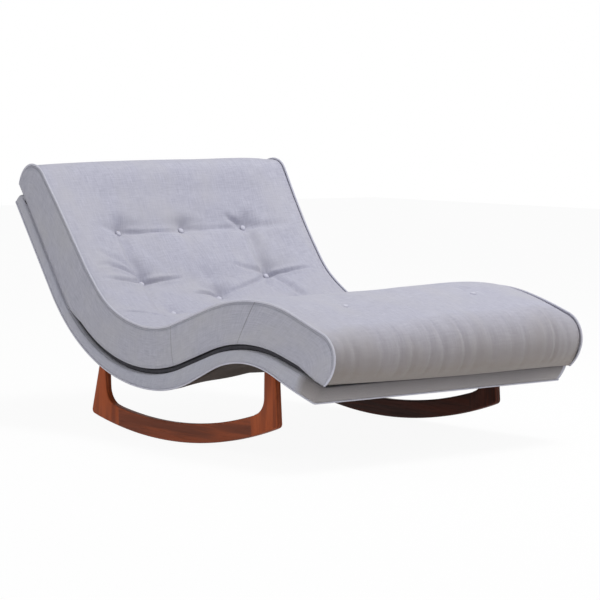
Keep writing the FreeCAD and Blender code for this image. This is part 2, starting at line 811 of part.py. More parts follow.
def rocker_member(name, side, outer_y):
    """One glued piece of a rocker, sawn from board and rounded over."""
    body = doc.addObject("PartDesign::Body", name + "_" + side)
    sketch = body.newObject("Sketcher::SketchObject", name + "_outline_" + side)
    plane = [item for item in body.Origin.OriginFeatures if item.Role == "XZ_Plane"][0]
    sketch.AttachmentSupport = [(plane, "")]
    sketch.MapMode = "FlatFace"
    sketch.AttachmentOffset = Placement(Vector(0, 0, -outer_y), Rotation())
    for edge in outlines[name]:
        ends = [edge.valueAt(edge.FirstParameter), edge.valueAt(edge.LastParameter)]
        flat = [Vector(point.x, point.z, 0) for point in ends]
        if edge.Curve.TypeId == "Part::GeomLine":
            sketch.addGeometry(Part.LineSegment(flat[0], flat[1]), False)
        else:
            middle = edge.valueAt((edge.FirstParameter + edge.LastParameter) / 2)
            sketch.addGeometry(
                Part.Arc(flat[0], Vector(middle.x, middle.z, 0), flat[1]), False)
    pad = body.newObject("PartDesign::Pad", name + "_board_" + side)
    pad.Profile = sketch
    pad.setExpression("Length", "sizes.rockerThick")
    doc.recompute()
    tip = pad
    if name in crooks:
        crook, crook_radius, heel = crooks[name]
        for place, radius, word in ((crook, crook_radius, "crook"), (heel, "cornerRadius", "heel")):
            fillet = body.newObject("PartDesign::Fillet", name + "_" + word + "_" + side)
            fillet.Base = (tip, edge_names(tip.Shape, lambda edge: near(edge, place)))
            fillet.setExpression("Radius", "sizes." + radius)
            body.Tip = fillet
            doc.recompute()
            tip = fillet
    chamfer = body.newObject("PartDesign::Chamfer", name + "_easing_" + side)
    chamfer.Base = (tip, edge_names(tip.Shape, rounded_side))
    chamfer.setExpression("Size", "sizes.edgeEase")
    body.Tip = chamfer
    doc.recompute()
    return body


faces_y = {"left": size("rockerFace"), "right": -size("rockerFace") + size("rockerThick")}
along_x = Rotation(Vector(0, 1, 0), 90)
leg_tops = {
    "rear": ((rear_inner + size("rearTopX")) / 2, "rearRockerDepth", -12),
    "front": ((front_inner + size("frontTopX")) / 2, "frontRockerDepth", 0),
}
dowels = []
screws = []
plank_tools = {"rear": [], "front": []}
for side in ("left", "right"):
    middle_y = faces_y[side] - size("rockerThick") / 2
    tools = {"rear_leg": [], "front_leg": [], "sole_rail": []}
    for leg, glue in (("rear_leg", rear_glue), ("front_leg", front_glue)):
        for rise in (sole_depth * 0.3, sole_depth * 0.7):
            start = sole_point(glue, rise) - Vector(size("dowelLength") / 2, 0, 0)
            start.y = middle_y
            dowel = prism("rocker_dowel", 8, "dowelRadius", "dowelLength", start, along_x)
            dowels.append(dowel)
            tools[leg].append(dowel)
            tools["sole_rail"].append(dowel)
    for place, (x, plank_depth, lean) in leg_tops.items():
        turn = Rotation(Vector(0, 1, 0), -lean)
        head_x = x - math.tan(math.radians(lean)) * 40
        for offset in (-size("screwSpacing") / 2, size("screwSpacing") / 2):
            head_run = run_over(deck_top, head_x + offset)
            head = deck_top.at(head_run, -size("railDrop") - 3, middle_y)
            tip_point = head - turn.multVec(Vector(0, 0, size("screwLength")))
            screw = prism("dowel_screw", 8, "screwRadius", "screwLength", tip_point, turn)
            screws.append(screw)
            tools[place + "_leg"].append(screw)
            plank_tools[place].append(screw)
    for name in ("rear_leg", "sole_rail", "front_leg"):
        member = rocker_member(name, side, faces_y[side])
        drill = doc.addObject("Part::MultiFuse", name + "_bores_" + side)
        drill.Shapes = tools[name]
        drilled = doc.addObject("Part::Cut", name + "_drilled_" + side)
        drilled.Base = member
        drilled.Tool = drill
        member.Label = name + "_body_" + side
        drilled.Label = name + "_" + side
        made.append(drilled)
group("rocker_dowels", dowels)
group("dowel_screws", screws)

for place, (x, plank_depth, lean) in leg_tops.items():
    plank = board(
        place + "_rocker_plank", run_over(deck_top, x), "rockerRailWidth", plank_depth, rail_inner)
    drill = doc.addObject("Part::MultiFuse", place + "_rocker_holes")
    drill.Shapes = plank_tools[place]
    drilled = doc.addObject("Part::Cut", place + "_rocker_rail")
    drilled.Base = plank
    drilled.Tool = drill
    drilled.Label = place + "_rocker_rail"
    made.append(drilled)

# Dust cover, cut round the four legs
sheet_thick = size("dustSheet")
dust = strip(
    deck_under, 10, deck_under.length - 10, -sheet_thick, -0.1, -rail_outer + 4, rail_outer - 4)
for side in ("left", "right"):
    for x_low, x_high in ((size("rearTopX"), rear_inner), (front_inner, size("frontTopX"))):
        low = Vector(x_low - datum - 4, faces_y[side] - size("rockerThick") - 1, 100)
        dust = dust.cut(Part.makeBox(
            x_high - x_low + 8, size("rockerThick") + 2, 300, low))
add_shape("dust_cover", dust)

doc.recompute()

for item in doc.Objects:
    if "Invalid" in item.State or "Error" in item.State:
        raise RuntimeError("%s did not compute: %s" % (item.Label, item.State))
os.makedirs("parts", exist_ok=True)
whole = FreeCAD.BoundBox()
for piece in made:
    shape = piece.Shape.copy()
    shape.rotate(sole_centre, Vector(0, 1, 0), -size("restTilt"))
    if shape.isNull() or not shape.isValid() or shape.Volume < 1:
        raise RuntimeError(piece.Label + " has no sound shape")
    whole.add(shape.BoundBox)
    shape.exportStep("parts/" + piece.Label + ".step")
    box = shape.BoundBox
    print("%-18s %3d solids %9.1f cm3, x %6.1f %6.1f, y %6.1f %6.1f, z %6.1f %6.1f" % (
        piece.Label, len(shape.Solids), shape.Volume / 1000,
        box.XMin, box.XMax, box.YMin, box.YMax, box.ZMin, box.ZMax))
print("overall", whole)
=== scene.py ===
import json
import math
import bmesh
import bpy
import numpy as np
from mathutils import Matrix, Vector


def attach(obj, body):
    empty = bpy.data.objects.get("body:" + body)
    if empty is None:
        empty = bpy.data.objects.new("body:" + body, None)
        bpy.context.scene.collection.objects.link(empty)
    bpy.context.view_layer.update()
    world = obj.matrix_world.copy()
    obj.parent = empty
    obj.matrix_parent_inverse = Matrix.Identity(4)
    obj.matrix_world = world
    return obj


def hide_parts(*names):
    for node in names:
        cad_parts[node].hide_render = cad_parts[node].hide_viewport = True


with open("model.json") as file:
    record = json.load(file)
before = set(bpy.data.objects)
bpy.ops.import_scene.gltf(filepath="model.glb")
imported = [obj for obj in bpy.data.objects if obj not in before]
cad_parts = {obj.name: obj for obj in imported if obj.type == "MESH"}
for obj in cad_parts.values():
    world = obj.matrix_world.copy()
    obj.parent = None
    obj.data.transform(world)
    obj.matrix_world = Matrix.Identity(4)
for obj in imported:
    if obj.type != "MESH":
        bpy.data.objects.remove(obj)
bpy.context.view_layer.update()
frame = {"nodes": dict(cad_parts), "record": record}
nodes = frame["nodes"]
scene = bpy.context.scene
scene.view_settings.view_transform = "Standard"
print("frame loaded:", len(nodes), "CAD nodes")


# Nodes: one helper adds a node to any tree, for shaders and for geometry

def addNode(tree, kind, settings=None, sockets=None, output=0):
    # a socket takes a value, or another node's output that is linked to it
    node = tree.nodes.new(kind)
    for key, value in (settings or {}).items():
        setattr(node, key, value)
    for key, value in (sockets or {}).items():
        if isinstance(value, bpy.types.NodeSocket):
            tree.links.new(value, node.inputs[key])
        else:
            node.inputs[key].default_value = value
    return node.outputs[output]


def mathNode(operation, flipped=False):
    def work(wire, other):
        pair = (other, wire) if flipped else (wire, other)
        return wire.paint.add("ShaderNodeMath", {"operation": operation}, dict(enumerate(pair)))
    return work


class Wire:  # a node's output that takes part in sums
    def __init__(self, paint, socket):
        self.paint = paint
        self.socket = socket

    __add__, __radd__ = mathNode("ADD"), mathNode("ADD", True)
    __sub__, __rsub__ = mathNode("SUBTRACT"), mathNode("SUBTRACT", True)
    __mul__, __rmul__ = mathNode("MULTIPLY"), mathNode("MULTIPLY", True)
    __pow__ = mathNode("POWER")


class Paint:
    def __init__(self, name, **fixed):
        self.material = bpy.data.materials.new(name)
        self.material.use_nodes = True
        self.tree = self.material.node_tree
        self.surface = self.tree.nodes["Principled BSDF"]
        for label, value in fixed.items():
            self.surface.inputs[label.replace("_", " ")].default_value = value

    def add(self, kind, settings=None, sockets=None, output=0):
        plain = {key: value.socket if isinstance(value, Wire) else value
                 for key, value in (sockets or {}).items()}
        return Wire(self, addNode(self.tree, kind, settings, plain, output))

    def put(self, label, wire):
        self.tree.links.new(wire.socket, self.surface.inputs[label])

    def mixed(self, mask, first, second):  # colour mix
        return self.add("ShaderNodeMix", {"data_type": "RGBA"}, {0: mask, 6: first, 7: second}, 2)

    def part(self, source, axis):  # X, Y or Z of a vector, by 0, 1 or 2
        return self.add("ShaderNodeSeparateXYZ", None, {0: source}, axis)

    def placed(self, source, scale):
        return self.add("ShaderNodeMapping", None, {"Vector": source, "Scale": scale})

    def noise(self, source, scale, detail=3.0, rough=0.5):
        return self.add("ShaderNodeTexNoise", None, {
            "Vector": source, "Scale": scale, "Detail": detail, "Roughness": rough})

    def waves(self, source, axis, scale, distortion, detail, detailScale):
        return self.add("ShaderNodeTexWave", {"bands_direction": axis}, {
            "Vector": source, "Scale": scale, "Distortion": distortion, "Detail": detail,
            "Detail Scale": detailScale})

    def spread(self, value, low, high, toLow=0.0, toHigh=1.0):
        return self.add("ShaderNodeMapRange", {"clamp": True}, {
            0: value, 1: low, 2: high, 3: toLow, 4: toHigh})

    def bumped(self, height, depth, strength=0.7):
        self.put("Normal", self.add("ShaderNodeBump", None, {
            "Height": height, "Distance": depth, "Strength": strength}))


def tint(colour):  # screen colour, 0 to 255, as Blender's linear one
    linear = []
    for part in colour:
        share = part / 255
        linear.append(share / 12.92 if share < 0.04045 else ((share + 0.055) / 1.055) ** 2.4)
    return (*linear, 1.0)


# Cloth: a linen-look weave drawn on each piece's own map, which is in metres

upholstery = dict(
    soil=(142, 134, 130), shaded=(92, 88, 90),
    threadPitch=0.0011, waveTurns=0.314,    # the wave node's scale for one thread a metre
    slubLength=0.045, slubWidth=0.0042, slubDetail=5.0, slubRough=0.65,
    cloudScale=4.2, cloudWear=(0.44, 0.74), slubShade=(0.36, 0.64),
    soilRagged=0.06, underRagged=0.02,
    seamHalf=(0.0004, 0.0016), seamShade=0.7, seamDepth=2.0, depth=0.0009,
)


def clothPaint(name, cloth, faded, deep, patch, gain=1.0, soil=None, paintedShadowUnder=None, seams=()):
    paint = Paint(name, Roughness=0.92, Sheen_Weight=0.25, Sheen_Roughness=0.5,
                  Specular_IOR_Level=0.25)
    weave = paint.add("ShaderNodeUVMap", {"uv_map": "weave"})
    run = paint.part(weave, 0)
    turns = upholstery["waveTurns"] / upholstery["threadPitch"]
    warp, weft = (paint.waves(weave, axis, turns, 1.2, 2.0, 3.0) for axis in "XY")
    along, across = 1.0 / upholstery["slubLength"], 1.0 / upholstery["slubWidth"]
    slubRun, slubWide = (
        paint.noise(paint.placed(weave, stretch), 1.0, upholstery["slubDetail"], upholstery["slubRough"])
        for stretch in ((along, across, 1), (across, along, 1)))
    cloud = paint.noise(paint.placed(weave, (1, 1.4, 1)), upholstery["cloudScale"], 3.0, 0.55)
    wear = paint.spread(cloud, *upholstery["cloudWear"], 0.0, patch)
    shade = paint.spread(slubRun * 0.55 + slubWide * 0.45, *upholstery["slubShade"])
    colour = paint.mixed(wear, paint.mixed(shade, tint(deep), tint(cloth)), tint(faded))
    if soil:
        # handled and dusty cloth, darker and browner past a place on the map; the same mask also bounds
        # the painted shadow below
        start, end, amount = soil
        dirtAndShadowReach = paint.spread(run + (cloud - 0.5) * upholstery["soilRagged"], start, end, 0.0, amount)
        colour = paint.mixed(dirtAndShadowReach, colour, tint(upholstery["soil"]))
        # painted shadow: where asked, the strip just below the band's top edge is darkened further, as if
        # shaded by the cushion overhanging it
        if paintedShadowUnder:
            rise = paint.part(weave, 1) + (cloud - 0.5) * upholstery["underRagged"]
            colour = paint.mixed(paint.spread(rise, *paintedShadowUnder) * dirtAndShadowReach, colour,
                                 tint(upholstery["shaded"]))
    height = warp * 0.3 + weft * 0.3 + slubRun * 0.9 + slubWide * 0.7
    for seam in seams:
        # where two lengths of the strip are sewn together
        apart = ((run - seam) * (run - seam)) ** 0.5
        sewn = paint.spread(apart, *upholstery["seamHalf"], 1.0, 0.0)
        colour = paint.mixed(sewn * upholstery["seamShade"], colour, tint(upholstery["shaded"]))
        height = height - sewn * upholstery["seamDepth"]
    paint.put("Base Color", colour)
    paint.bumped(height, upholstery["depth"] * gain)
    return paint.material


def plainCloth(name, light, dark, scale, depth=0.0006, rough=0.95):
    paint = Paint(name, Roughness=rough)
    place = paint.add("ShaderNodeTexCoord", output=3)
    fibre = paint.noise(place, scale, 5.0, 0.7)
    coarse = paint.noise(place, scale / 18, 2.0)
    mask = paint.spread(fibre * 0.7 + coarse * 0.3, 0.35, 0.65)
    paint.put("Base Color", paint.mixed(mask, tint(dark), tint(light)))
    paint.bumped(fibre, depth)
    return paint.material


# Wood and steel

rest = dict(tilt=3.4, x=-0.0366, z=1.435)  # the drawing is turned about the soles' axis
timber = dict(across=(22.0, 30.0, 22.0), along=1.6, poreAcross=260.0, poreAlong=9.0, depth=0.0003,
              rubbed=(0.0045, 0.0005), rubRagged=0.006, rubShare=0.6)


def woodPaint(name, light, dark, pore, grainAxis, rough, coat=0.0):
    # grainAxis: 0 lengthwise, 1 across the chaise, 2 upright
    paint = Paint(name, Coat_Roughness=0.3, Coat_Weight=coat, Specular_IOR_Level=0.16)
    place = paint.add("ShaderNodeTexCoord", output=3)
    stretch = list(timber["across"])
    stretch[grainAxis] = timber["along"]
    bent = paint.placed(place, tuple(stretch))
    sway = paint.noise(bent, 1.0)
    ring = paint.waves(bent, "Y", 1.1, 7.0, 3.0, 1.2)
    fine = [timber["poreAcross"]] * 3
    fine[grainAxis] = timber["poreAlong"]
    pores = paint.noise(paint.placed(place, tuple(fine)), 1.0, 3.0, 0.6)
    figure = paint.spread(ring * 0.55 + sway * 0.6, 0.30, 0.85)
    board = paint.mixed(figure, tint(dark), tint(light))
    colour = paint.mixed(paint.spread(pores, 0.56, 0.70) * 0.55, board, tint(pore))
    # the sole's edges are rubbed pale: how far a point lies from the soles' axis
    ahead = paint.part(place, 0) - rest["x"]
    below = paint.part(place, 2) - rest["z"]
    radius = (ahead * ahead + below * below) ** 0.5 + (sway - 0.5) * timber["rubRagged"]
    start, end = (rest["z"] - depth for depth in timber["rubbed"])
    paint.put("Base Color", paint.mixed(
        paint.spread(radius, start, end, 0.0, timber["rubShare"]), colour, tint(light)))
    paint.put("Roughness", paint.spread(pores, 0.3, 0.7, rough, rough + 0.16))
    paint.bumped(pores * -1.0 + figure * 0.3, timber["depth"], 0.5)
    return paint.material


def steelPaint():
    paint = Paint("zinc steel", Metallic=1.0)
    haze = paint.noise(paint.add("ShaderNodeTexCoord", output=3), 160, 4.0)
    paint.put("Base Color", paint.mixed(haze, tint((150, 152, 156)), tint((196, 198, 202))))
    paint.put("Roughness", paint.spread(haze, 0.3, 0.7, 0.28, 0.45))
    paint.bumped(haze, 0.0001, 0.4)
    return paint.material


panelCloth = clothPaint("panel cloth", (194, 194, 208), (188, 187, 195), (166, 166, 183), 0.7,
                        soil=(1.78, 1.94, 1.0))
boxingCloth = clothPaint("boxing cloth", (190, 190, 202), (184, 183, 188), (160, 160, 174), 0.8,
                         seams=(1.203, 1.548))
# the deck band's foot face: darker and browner dirt, plus a painted shadow along its top strip under the
# cushion's overhang
deckCloth = clothPaint("deck cloth", (188, 189, 201), (182, 181, 186), (164, 165, 179), 0.7,
                       soil=(4.33, 4.37, 0.75), paintedShadowUnder=(0.085, 0.045, 0.0, 0.9))
# the cords' cloth is lighter than the panel's: a painted highlight along the round piping, hems and deck
# welt, which all use it
pipingCloth = clothPaint("piping cloth", (206, 206, 218), (200, 199, 206), (186, 186, 200), 0.6, 0.6)
buttonCloth = plainCloth("button cloth", (206, 206, 218), (188, 188, 202), 900)
stitchThread = plainCloth("stitch thread", (126, 128, 146), (96, 98, 114), 700)
felt = plainCloth("charcoal felt", (76, 75, 82), (44, 43, 48), 420, 0.0012)
dustCloth = plainCloth("dust cloth", (78, 62, 50), (36, 28, 24), 90, 0.0012, 0.9)
legWood = woodPaint("leg walnut", (160, 78, 41), (126, 59, 31), (76, 34, 19), 2, 0.45, 0.04)
railWood = woodPaint("rail walnut", (142, 70, 40), (104, 51, 30), (62, 29, 18), 0, 0.45, 0.04)
# darker copies of the leg and rail woods: painted shade for the left rocker, which stands in the chaise's
# shadow
paintedShadeLeg = woodPaint("leg walnut painted shade", (96, 46, 30), (62, 29, 20), (38, 18, 13), 2, 0.5)
paintedShadeRail = woodPaint("rail walnut painted shade", (86, 41, 28), (54, 26, 18), (34, 16, 12), 0, 0.5)
finishes = {
    "upholstery": panelCloth, "boxing_cloth": boxingCloth, "deck_cloth": deckCloth,
    "piping_cloth": pipingCloth, "button_cloth": buttonCloth, "charcoal_cloth": felt,
    "dust_cloth": dustCloth, "rocker_wood": legWood, "steel": steelPaint(),
    "frame_wood": woodPaint("frame board", (206, 172, 124), (170, 132, 86), (120, 88, 54), 1, 0.6),
    "lining": plainCloth("lining cloth", (60, 60, 64), (40, 40, 44), 500),
    "foam": plainCloth("foam", (236, 222, 170), (206, 188, 130), 300, 0.0015),
    "webbing": plainCloth("webbing", (60, 60, 62), (30, 30, 32), 380),
    "twine": plainCloth("twine", (214, 204, 180), (170, 158, 132), 900),
    "back_button": plainCloth("moulded nylon", (58, 58, 60), (42, 42, 44), 600, 0.0002, 0.5),
}
slotOf = {row["node"]: row["material_slot"] for row in frame["record"]["subparts"]}
for nodeName, item in nodes.items():
    item.data.materials.clear()
    item.data.materials.append(finishes[slotOf[nodeName]])
print("materials made:", len(bpy.data.materials))


# Deck lines: straight runs and arcs that join smoothly, seen from the side

deckTop = dict(x=-0.7736, z=0.759, heading=-58.5, pieces=[
    # radius, then length of a straight run or last heading of an arc
    (0, 0.360), (0.520, 17), (0, 0.140), (-0.480, -20), (0, 0.192)])
deckUnder = dict(x=-0.8016, z=0.738, heading=-58.5, pieces=[
    (0, 0.339), (0.6075, 0), (0.440, 22), (0, 0.100), (-0.341, -26), (1.725, -20)])


def layLine(line):
    x, z, angle, run = line["x"], line["z"], math.radians(line["heading"]), 0.0
    line["parts"] = []
    for radius, amount in line["pieces"]:
        turn = math.radians(amount) - angle if radius else 0.0
        length = abs(turn * radius) if radius else amount
        line["parts"].append((run, length, x, z, angle, radius))
        if radius:
            x += radius * (math.sin(angle + turn) - math.sin(angle))
            z += radius * (math.cos(angle) - math.cos(angle + turn))
        else:
            x += length * math.cos(angle)
            z += length * math.sin(angle)
        angle += turn
        run += length
    line["length"] = run


def onLine(line, run, rise):
    # points at a run along the line and a rise square to it, as X and Z arrays
    run, rise = np.broadcast_arrays(np.asarray(run, float), np.asarray(rise, float))
    xs, zs = np.zeros(run.shape), np.zeros(run.shape)
    for index, (start, length, x, z, angle, radius) in enumerate(line["parts"]):
        mine = run >= start if index else np.ones(run.shape, bool)
        past = run[mine] - start
        if radius:
            swept = angle + past / radius
            xs[mine] = x - radius * math.sin(angle) + np.sin(swept) * (radius - rise[mine])
            zs[mine] = z + radius * math.cos(angle) - np.cos(swept) * (radius - rise[mine])
        else:
            xs[mine] = x + past * math.cos(angle) - rise[mine] * math.sin(angle)
            zs[mine] = z + past * math.sin(angle) + rise[mine] * math.cos(angle)
    return xs, zs


layLine(deckTop)
layLine(deckUnder)
deckEnd = deckTop["length"]


def stand(points):
    # from the drawing to how the chaise stands at rest
    points = np.asarray(points, float)
    turn = math.radians(rest["tilt"])
    x, z = points[..., 0] - rest["x"], points[..., 2] - rest["z"]
    return np.stack([rest["x"] + x * math.cos(turn) - z * math.sin(turn), points[..., 1],
                     rest["z"] + z * math.cos(turn) + x * math.sin(turn)], -1)


# Mesh helpers

bothSides = ((1, "left"), (-1, "right"))


def softened(share):
    # 0 to 1 with a soft start and end
    share = np.clip(share, 0, 1)
    return share * share * (3 - 2 * share)


def inScene(name, data):
    piece = bpy.data.objects.new(name, data)
    scene.collection.objects.link(piece)
    return piece


def spotsOf(mesh):
    spots = np.zeros(len(mesh.vertices) * 3)
    mesh.vertices.foreach_get("co", spots)
    return spots.reshape(-1, 3)


def layWeave(mesh, maps):
    layer = mesh.uv_layers.get("weave") or mesh.uv_layers.new(name="weave")
    corners = np.zeros(len(mesh.loops), int)
    mesh.loops.foreach_get("vertex_index", corners)
    layer.data.foreach_set("uv", np.asarray(maps, np.float32)[corners].ravel())


def meshPiece(name, points, faces, material, maps=None):
    mesh = bpy.data.meshes.new(name)
    mesh.from_pydata(stand(points).tolist(), [], faces)
    if maps is not None:
        layWeave(mesh, maps)
    mesh.materials.append(material)
    mesh.shade_smooth()
    mesh.update()
    return inScene(name, mesh)


def gridFaces(rows, columns, start=0, flip=False):
    faces = []
    for i in range(rows - 1):
        for j in range(columns - 1):
            a = start + i * columns + j
            quad = (a, a + columns, a + columns + 1, a + 1)
            faces.append(quad[::-1] if flip else quad)
    return faces


def bakedMesh(piece):
    bpy.context.view_layer.update()
    return bpy.data.meshes.new_from_object(
        piece.evaluated_get(bpy.context.evaluated_depsgraph_get()))


def thicken(piece, thickness):
    piece.modifiers.new("wall", "SOLIDIFY").thickness = thickness
    mesh = bakedMesh(piece)
    piece.modifiers.clear()
    piece.data = mesh


def pointOut(piece, merge=0.0):
    work = bmesh.new()
    work.from_mesh(piece.data)
    if merge:
        bmesh.ops.remove_doubles(work, verts=work.verts, dist=merge)
    bmesh.ops.recalc_face_normals(work, faces=work.faces)
    work.to_mesh(piece.data)
    work.free()


def finishPiece(piece, slotName, *stoodFor):
    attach(piece, "root")
    if stoodFor:
        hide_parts(*stoodFor)


# Cushion outline: toe, belly, nose, top, nose, belly, toe, measured on the deck's top line

cushion = dict(
    half=0.497,            # to the seam with the boxing
    seamRise=0.138,        # piping over the deck, before the marks below
    nose=0.070,
    headNose=0.006,        # run where the head nose starts
    footNose=deckEnd - 0.056,
    headTuck=0.022,
    footTuck=0.018,
    crownEdge=8.0,         # higher: a flatter middle and steeper edges
    crownLean=0.25,        # the crown is higher on the left
    underRise=0.003,
    leftSpread=0.008,      # the left side leans out a little
    leftReach=0.026,       # and its foot corner hangs further over the deck
    leftReachRun=1.2,
    step=0.010,            # spacing of the simulated cloth
    edgeFade=0.03,         # folds stop short of the seams
    mapEdge=0.6,           # where the map puts the underside
)
seamMarks = (
    # run, rise of the right seam, rise of the left seam, crown over both
    (0.00, 0.124, 0.160, 0.016), (0.10, 0.134, 0.149, 0.023), (0.25, 0.143, 0.140, 0.041),
    (0.44, 0.154, 0.144, 0.056), (0.56, 0.146, 0.149, 0.058), (0.75, 0.143, 0.144, 0.046),
    (1.00, 0.134, 0.130, 0.018), (1.20, 0.133, 0.145, 0.022), (1.30, 0.138, 0.140, 0.030),
    (1.45, 0.145, 0.152, 0.038), (1.55, 0.139, 0.156, 0.042), (1.66, 0.134, 0.151, 0.036))
decking = dict(rise=0.016, headRun=0.425, footRun=deckEnd - 0.040, taper=0.080, half=0.492,
               rows=130, gap=0.0003, lift=0.0002, round=0.004)
tufting = dict(
    column=0.261, power=1.1, hollowSpread=0.16,
    headSpread=0.052, footSpread=0.034, sideSpread=0.040,    # of a pit, each way
    slopeRun=0.212, slopeDepth=0.017, slopeAbove=0.055, slopeBelow=0.016, slopeHalf=0.30,
    rows=(
        # run, number of tufts, depth of each pit, depth of the hollow round it
        (0.206, 3, 0.037, 0.028), (0.418, 2, 0.046, 0.044), (0.532, 1, 0.044, 0.044),
        (0.650, 2, 0.028, 0.026), (0.860, 1, 0.022, 0.016), (1.050, 2, 0.022, 0.010),
        (1.240, 1, 0.022, 0.010), (1.470, 2, 0.020, 0.008)),
)
sides = {1: (0.0,), 2: (-1.0, 1.0), 3: (-1.0, 0.0, 1.0)}
tufts = [(run, side * tufting["column"], pit, hollow) for run, count, pit, hollow in tufting["rows"]
         for side in sides[count]]


def markLine(column):
    # a smooth line through the marks
    runs = np.linspace(-0.2, deckEnd + 0.2, 500)
    values = np.interp(runs, [mark[0] for mark in seamMarks], [mark[column] for mark in seamMarks])
    weights = np.exp(-(np.arange(-60, 61) * (runs[1] - runs[0]) / 0.05) ** 2)
    return runs, np.convolve(np.pad(values, 60, mode="edge"), weights / weights.sum(), "valid")


rightSeam, leftSeam, crownLine = markLine(1), markLine(2), markLine(3)


def bellyShape(grow, tuck):
    # radius and sweep of the arc from the widest point down to the toe
    reach = grow + tuck
    fall = cushion["seamRise"] - cushion["nose"] - cushion["underRise"]
    radius = (reach ** 2 + fall ** 2) / (2 * reach)
    return radius, np.arctan2(fall, radius - reach)


def outlineLengths():
    nose = cushion["nose"] * math.pi / 2
    lengths = []
    for tuck in (cushion["headTuck"], cushion["footTuck"]):
        radius, sweep = bellyShape(0.0, tuck)
        lengths.append(float(radius * sweep))
    top = cushion["footNose"] - cushion["headNose"]
    return [lengths[0], nose, top, nose, lengths[1]]


def outlineAt(along, grow):
    # run and rise of the outline at a length from the head toe, swollen by grow
    parts = outlineLengths()
    ends = np.cumsum(parts)
    along, grow = np.broadcast_arrays(np.asarray(along, float), np.asarray(grow, float))
    waist = cushion["seamRise"] - cushion["nose"]
    reach = cushion["nose"] + grow
    run, rise = np.zeros(along.shape), np.zeros(along.shape)
    for head in (True, False):
        centre = cushion["headNose"] if head else cushion["footNose"]
        way = -1.0 if head else 1.0
        tuck = cushion["headTuck"] if head else cushion["footTuck"]
        length = parts[0] if head else parts[4]
        fromToe = along if head else ends[4] - along
        radius, sweep = bellyShape(grow, tuck)
        belly = fromToe <= length
        angle = sweep * (1 - fromToe / length)
        hub = centre + way * (reach - radius)
        run = np.where(belly, hub + way * radius * np.cos(angle), run)
        rise = np.where(belly, waist - radius * np.sin(angle), rise)
        quarter = (fromToe > length) & (fromToe <= length + parts[1])
        angle = (fromToe - length) / parts[1] * math.pi / 2
        run = np.where(quarter, centre + way * reach * np.cos(angle), run)
        rise = np.where(quarter, waist + reach * np.sin(angle), rise)
    top = (along > ends[1]) & (along < ends[2])
    run = np.where(top, cushion["headNose"] + along - ends[1], run)
    rise = np.where(top, waist + reach, rise)
    return run, rise


outlineLength = sum(outlineLengths())
flatStart = sum(outlineLengths()[:2]) - cushion["headNose"]  # length from the head toe to run 0


def panelPlace(along, across, swell=0.0):
    # run, across and rise of the panel before tufting; the seams are at plus and minus half
    along, across = np.broadcast_arrays(np.asarray(along, float), np.asarray(across, float))
    share = np.clip(across / cushion["half"], -1, 1)
    flatRun = outlineAt(along, 0.0)[0]
    crown = np.interp(flatRun, *crownLine) * (1 - np.abs(share) ** cushion["crownEdge"])
    crown = crown * (1 + cushion["crownLean"] * (share - 1))
    run, rise = outlineAt(along, crown + swell)
    left = (share + 1) / 2
    right = np.interp(flatRun, *rightSeam)
    seam = right + (np.interp(flatRun, *leftSeam) - right) * left
    ahead = np.clip((run - cushion["leftReachRun"]) / (deckEnd - cushion["leftReachRun"]), 0, 1.2)
    return (run + cushion["leftReach"] * left * ahead ** 1.5,
            across + cushion["leftSpread"] * np.clip(share, 0, 1),
            rise * seam / cushion["seamRise"])


def onDeck(place):
    x, z = onLine(deckTop, place[0], place[2])
    return np.stack([x, np.broadcast_to(place[1], x.shape), z], -1)


def underRise(run):
    # the cushion's underside: on the deck at both ends, over the decking between
    up = np.clip((run - decking["headRun"]) / decking["taper"], 0, 1)
    down = np.clip((decking["footRun"] - run) / decking["taper"], 0, 1)
    return cushion["underRise"] + decking["rise"] * np.minimum(up, down)


def tuftSink(run, across):
    pits = np.zeros(np.broadcast(run, across).shape)
    hollows = np.zeros(pits.shape)
    for tuftRun, tuftAcross, pit, hollow in tufts:
        away = np.hypot(run - tuftRun, across - tuftAcross)
        reach = np.where(run < tuftRun, tufting["headSpread"], tufting["footSpread"])
        pull = np.hypot((run - tuftRun) / reach, (across - tuftAcross) / tufting["sideSpread"])
        pits = pits + pit * np.exp(-pull ** tufting["power"])
        hollows = hollows + hollow * np.exp(-(away / tufting["hollowSpread"]) ** 2)
    inside = 1 - np.abs(across / cushion["half"]) ** 6
    above = tufting["slopeRun"] - run
    reach = np.where(above > 0, tufting["slopeAbove"], tufting["slopeBelow"])
    slope = np.exp(-(above / reach) ** 2) * np.exp(-(across / tufting["slopeHalf"]) ** 6)
    return pits + hollows * inside + tufting["slopeDepth"] * slope


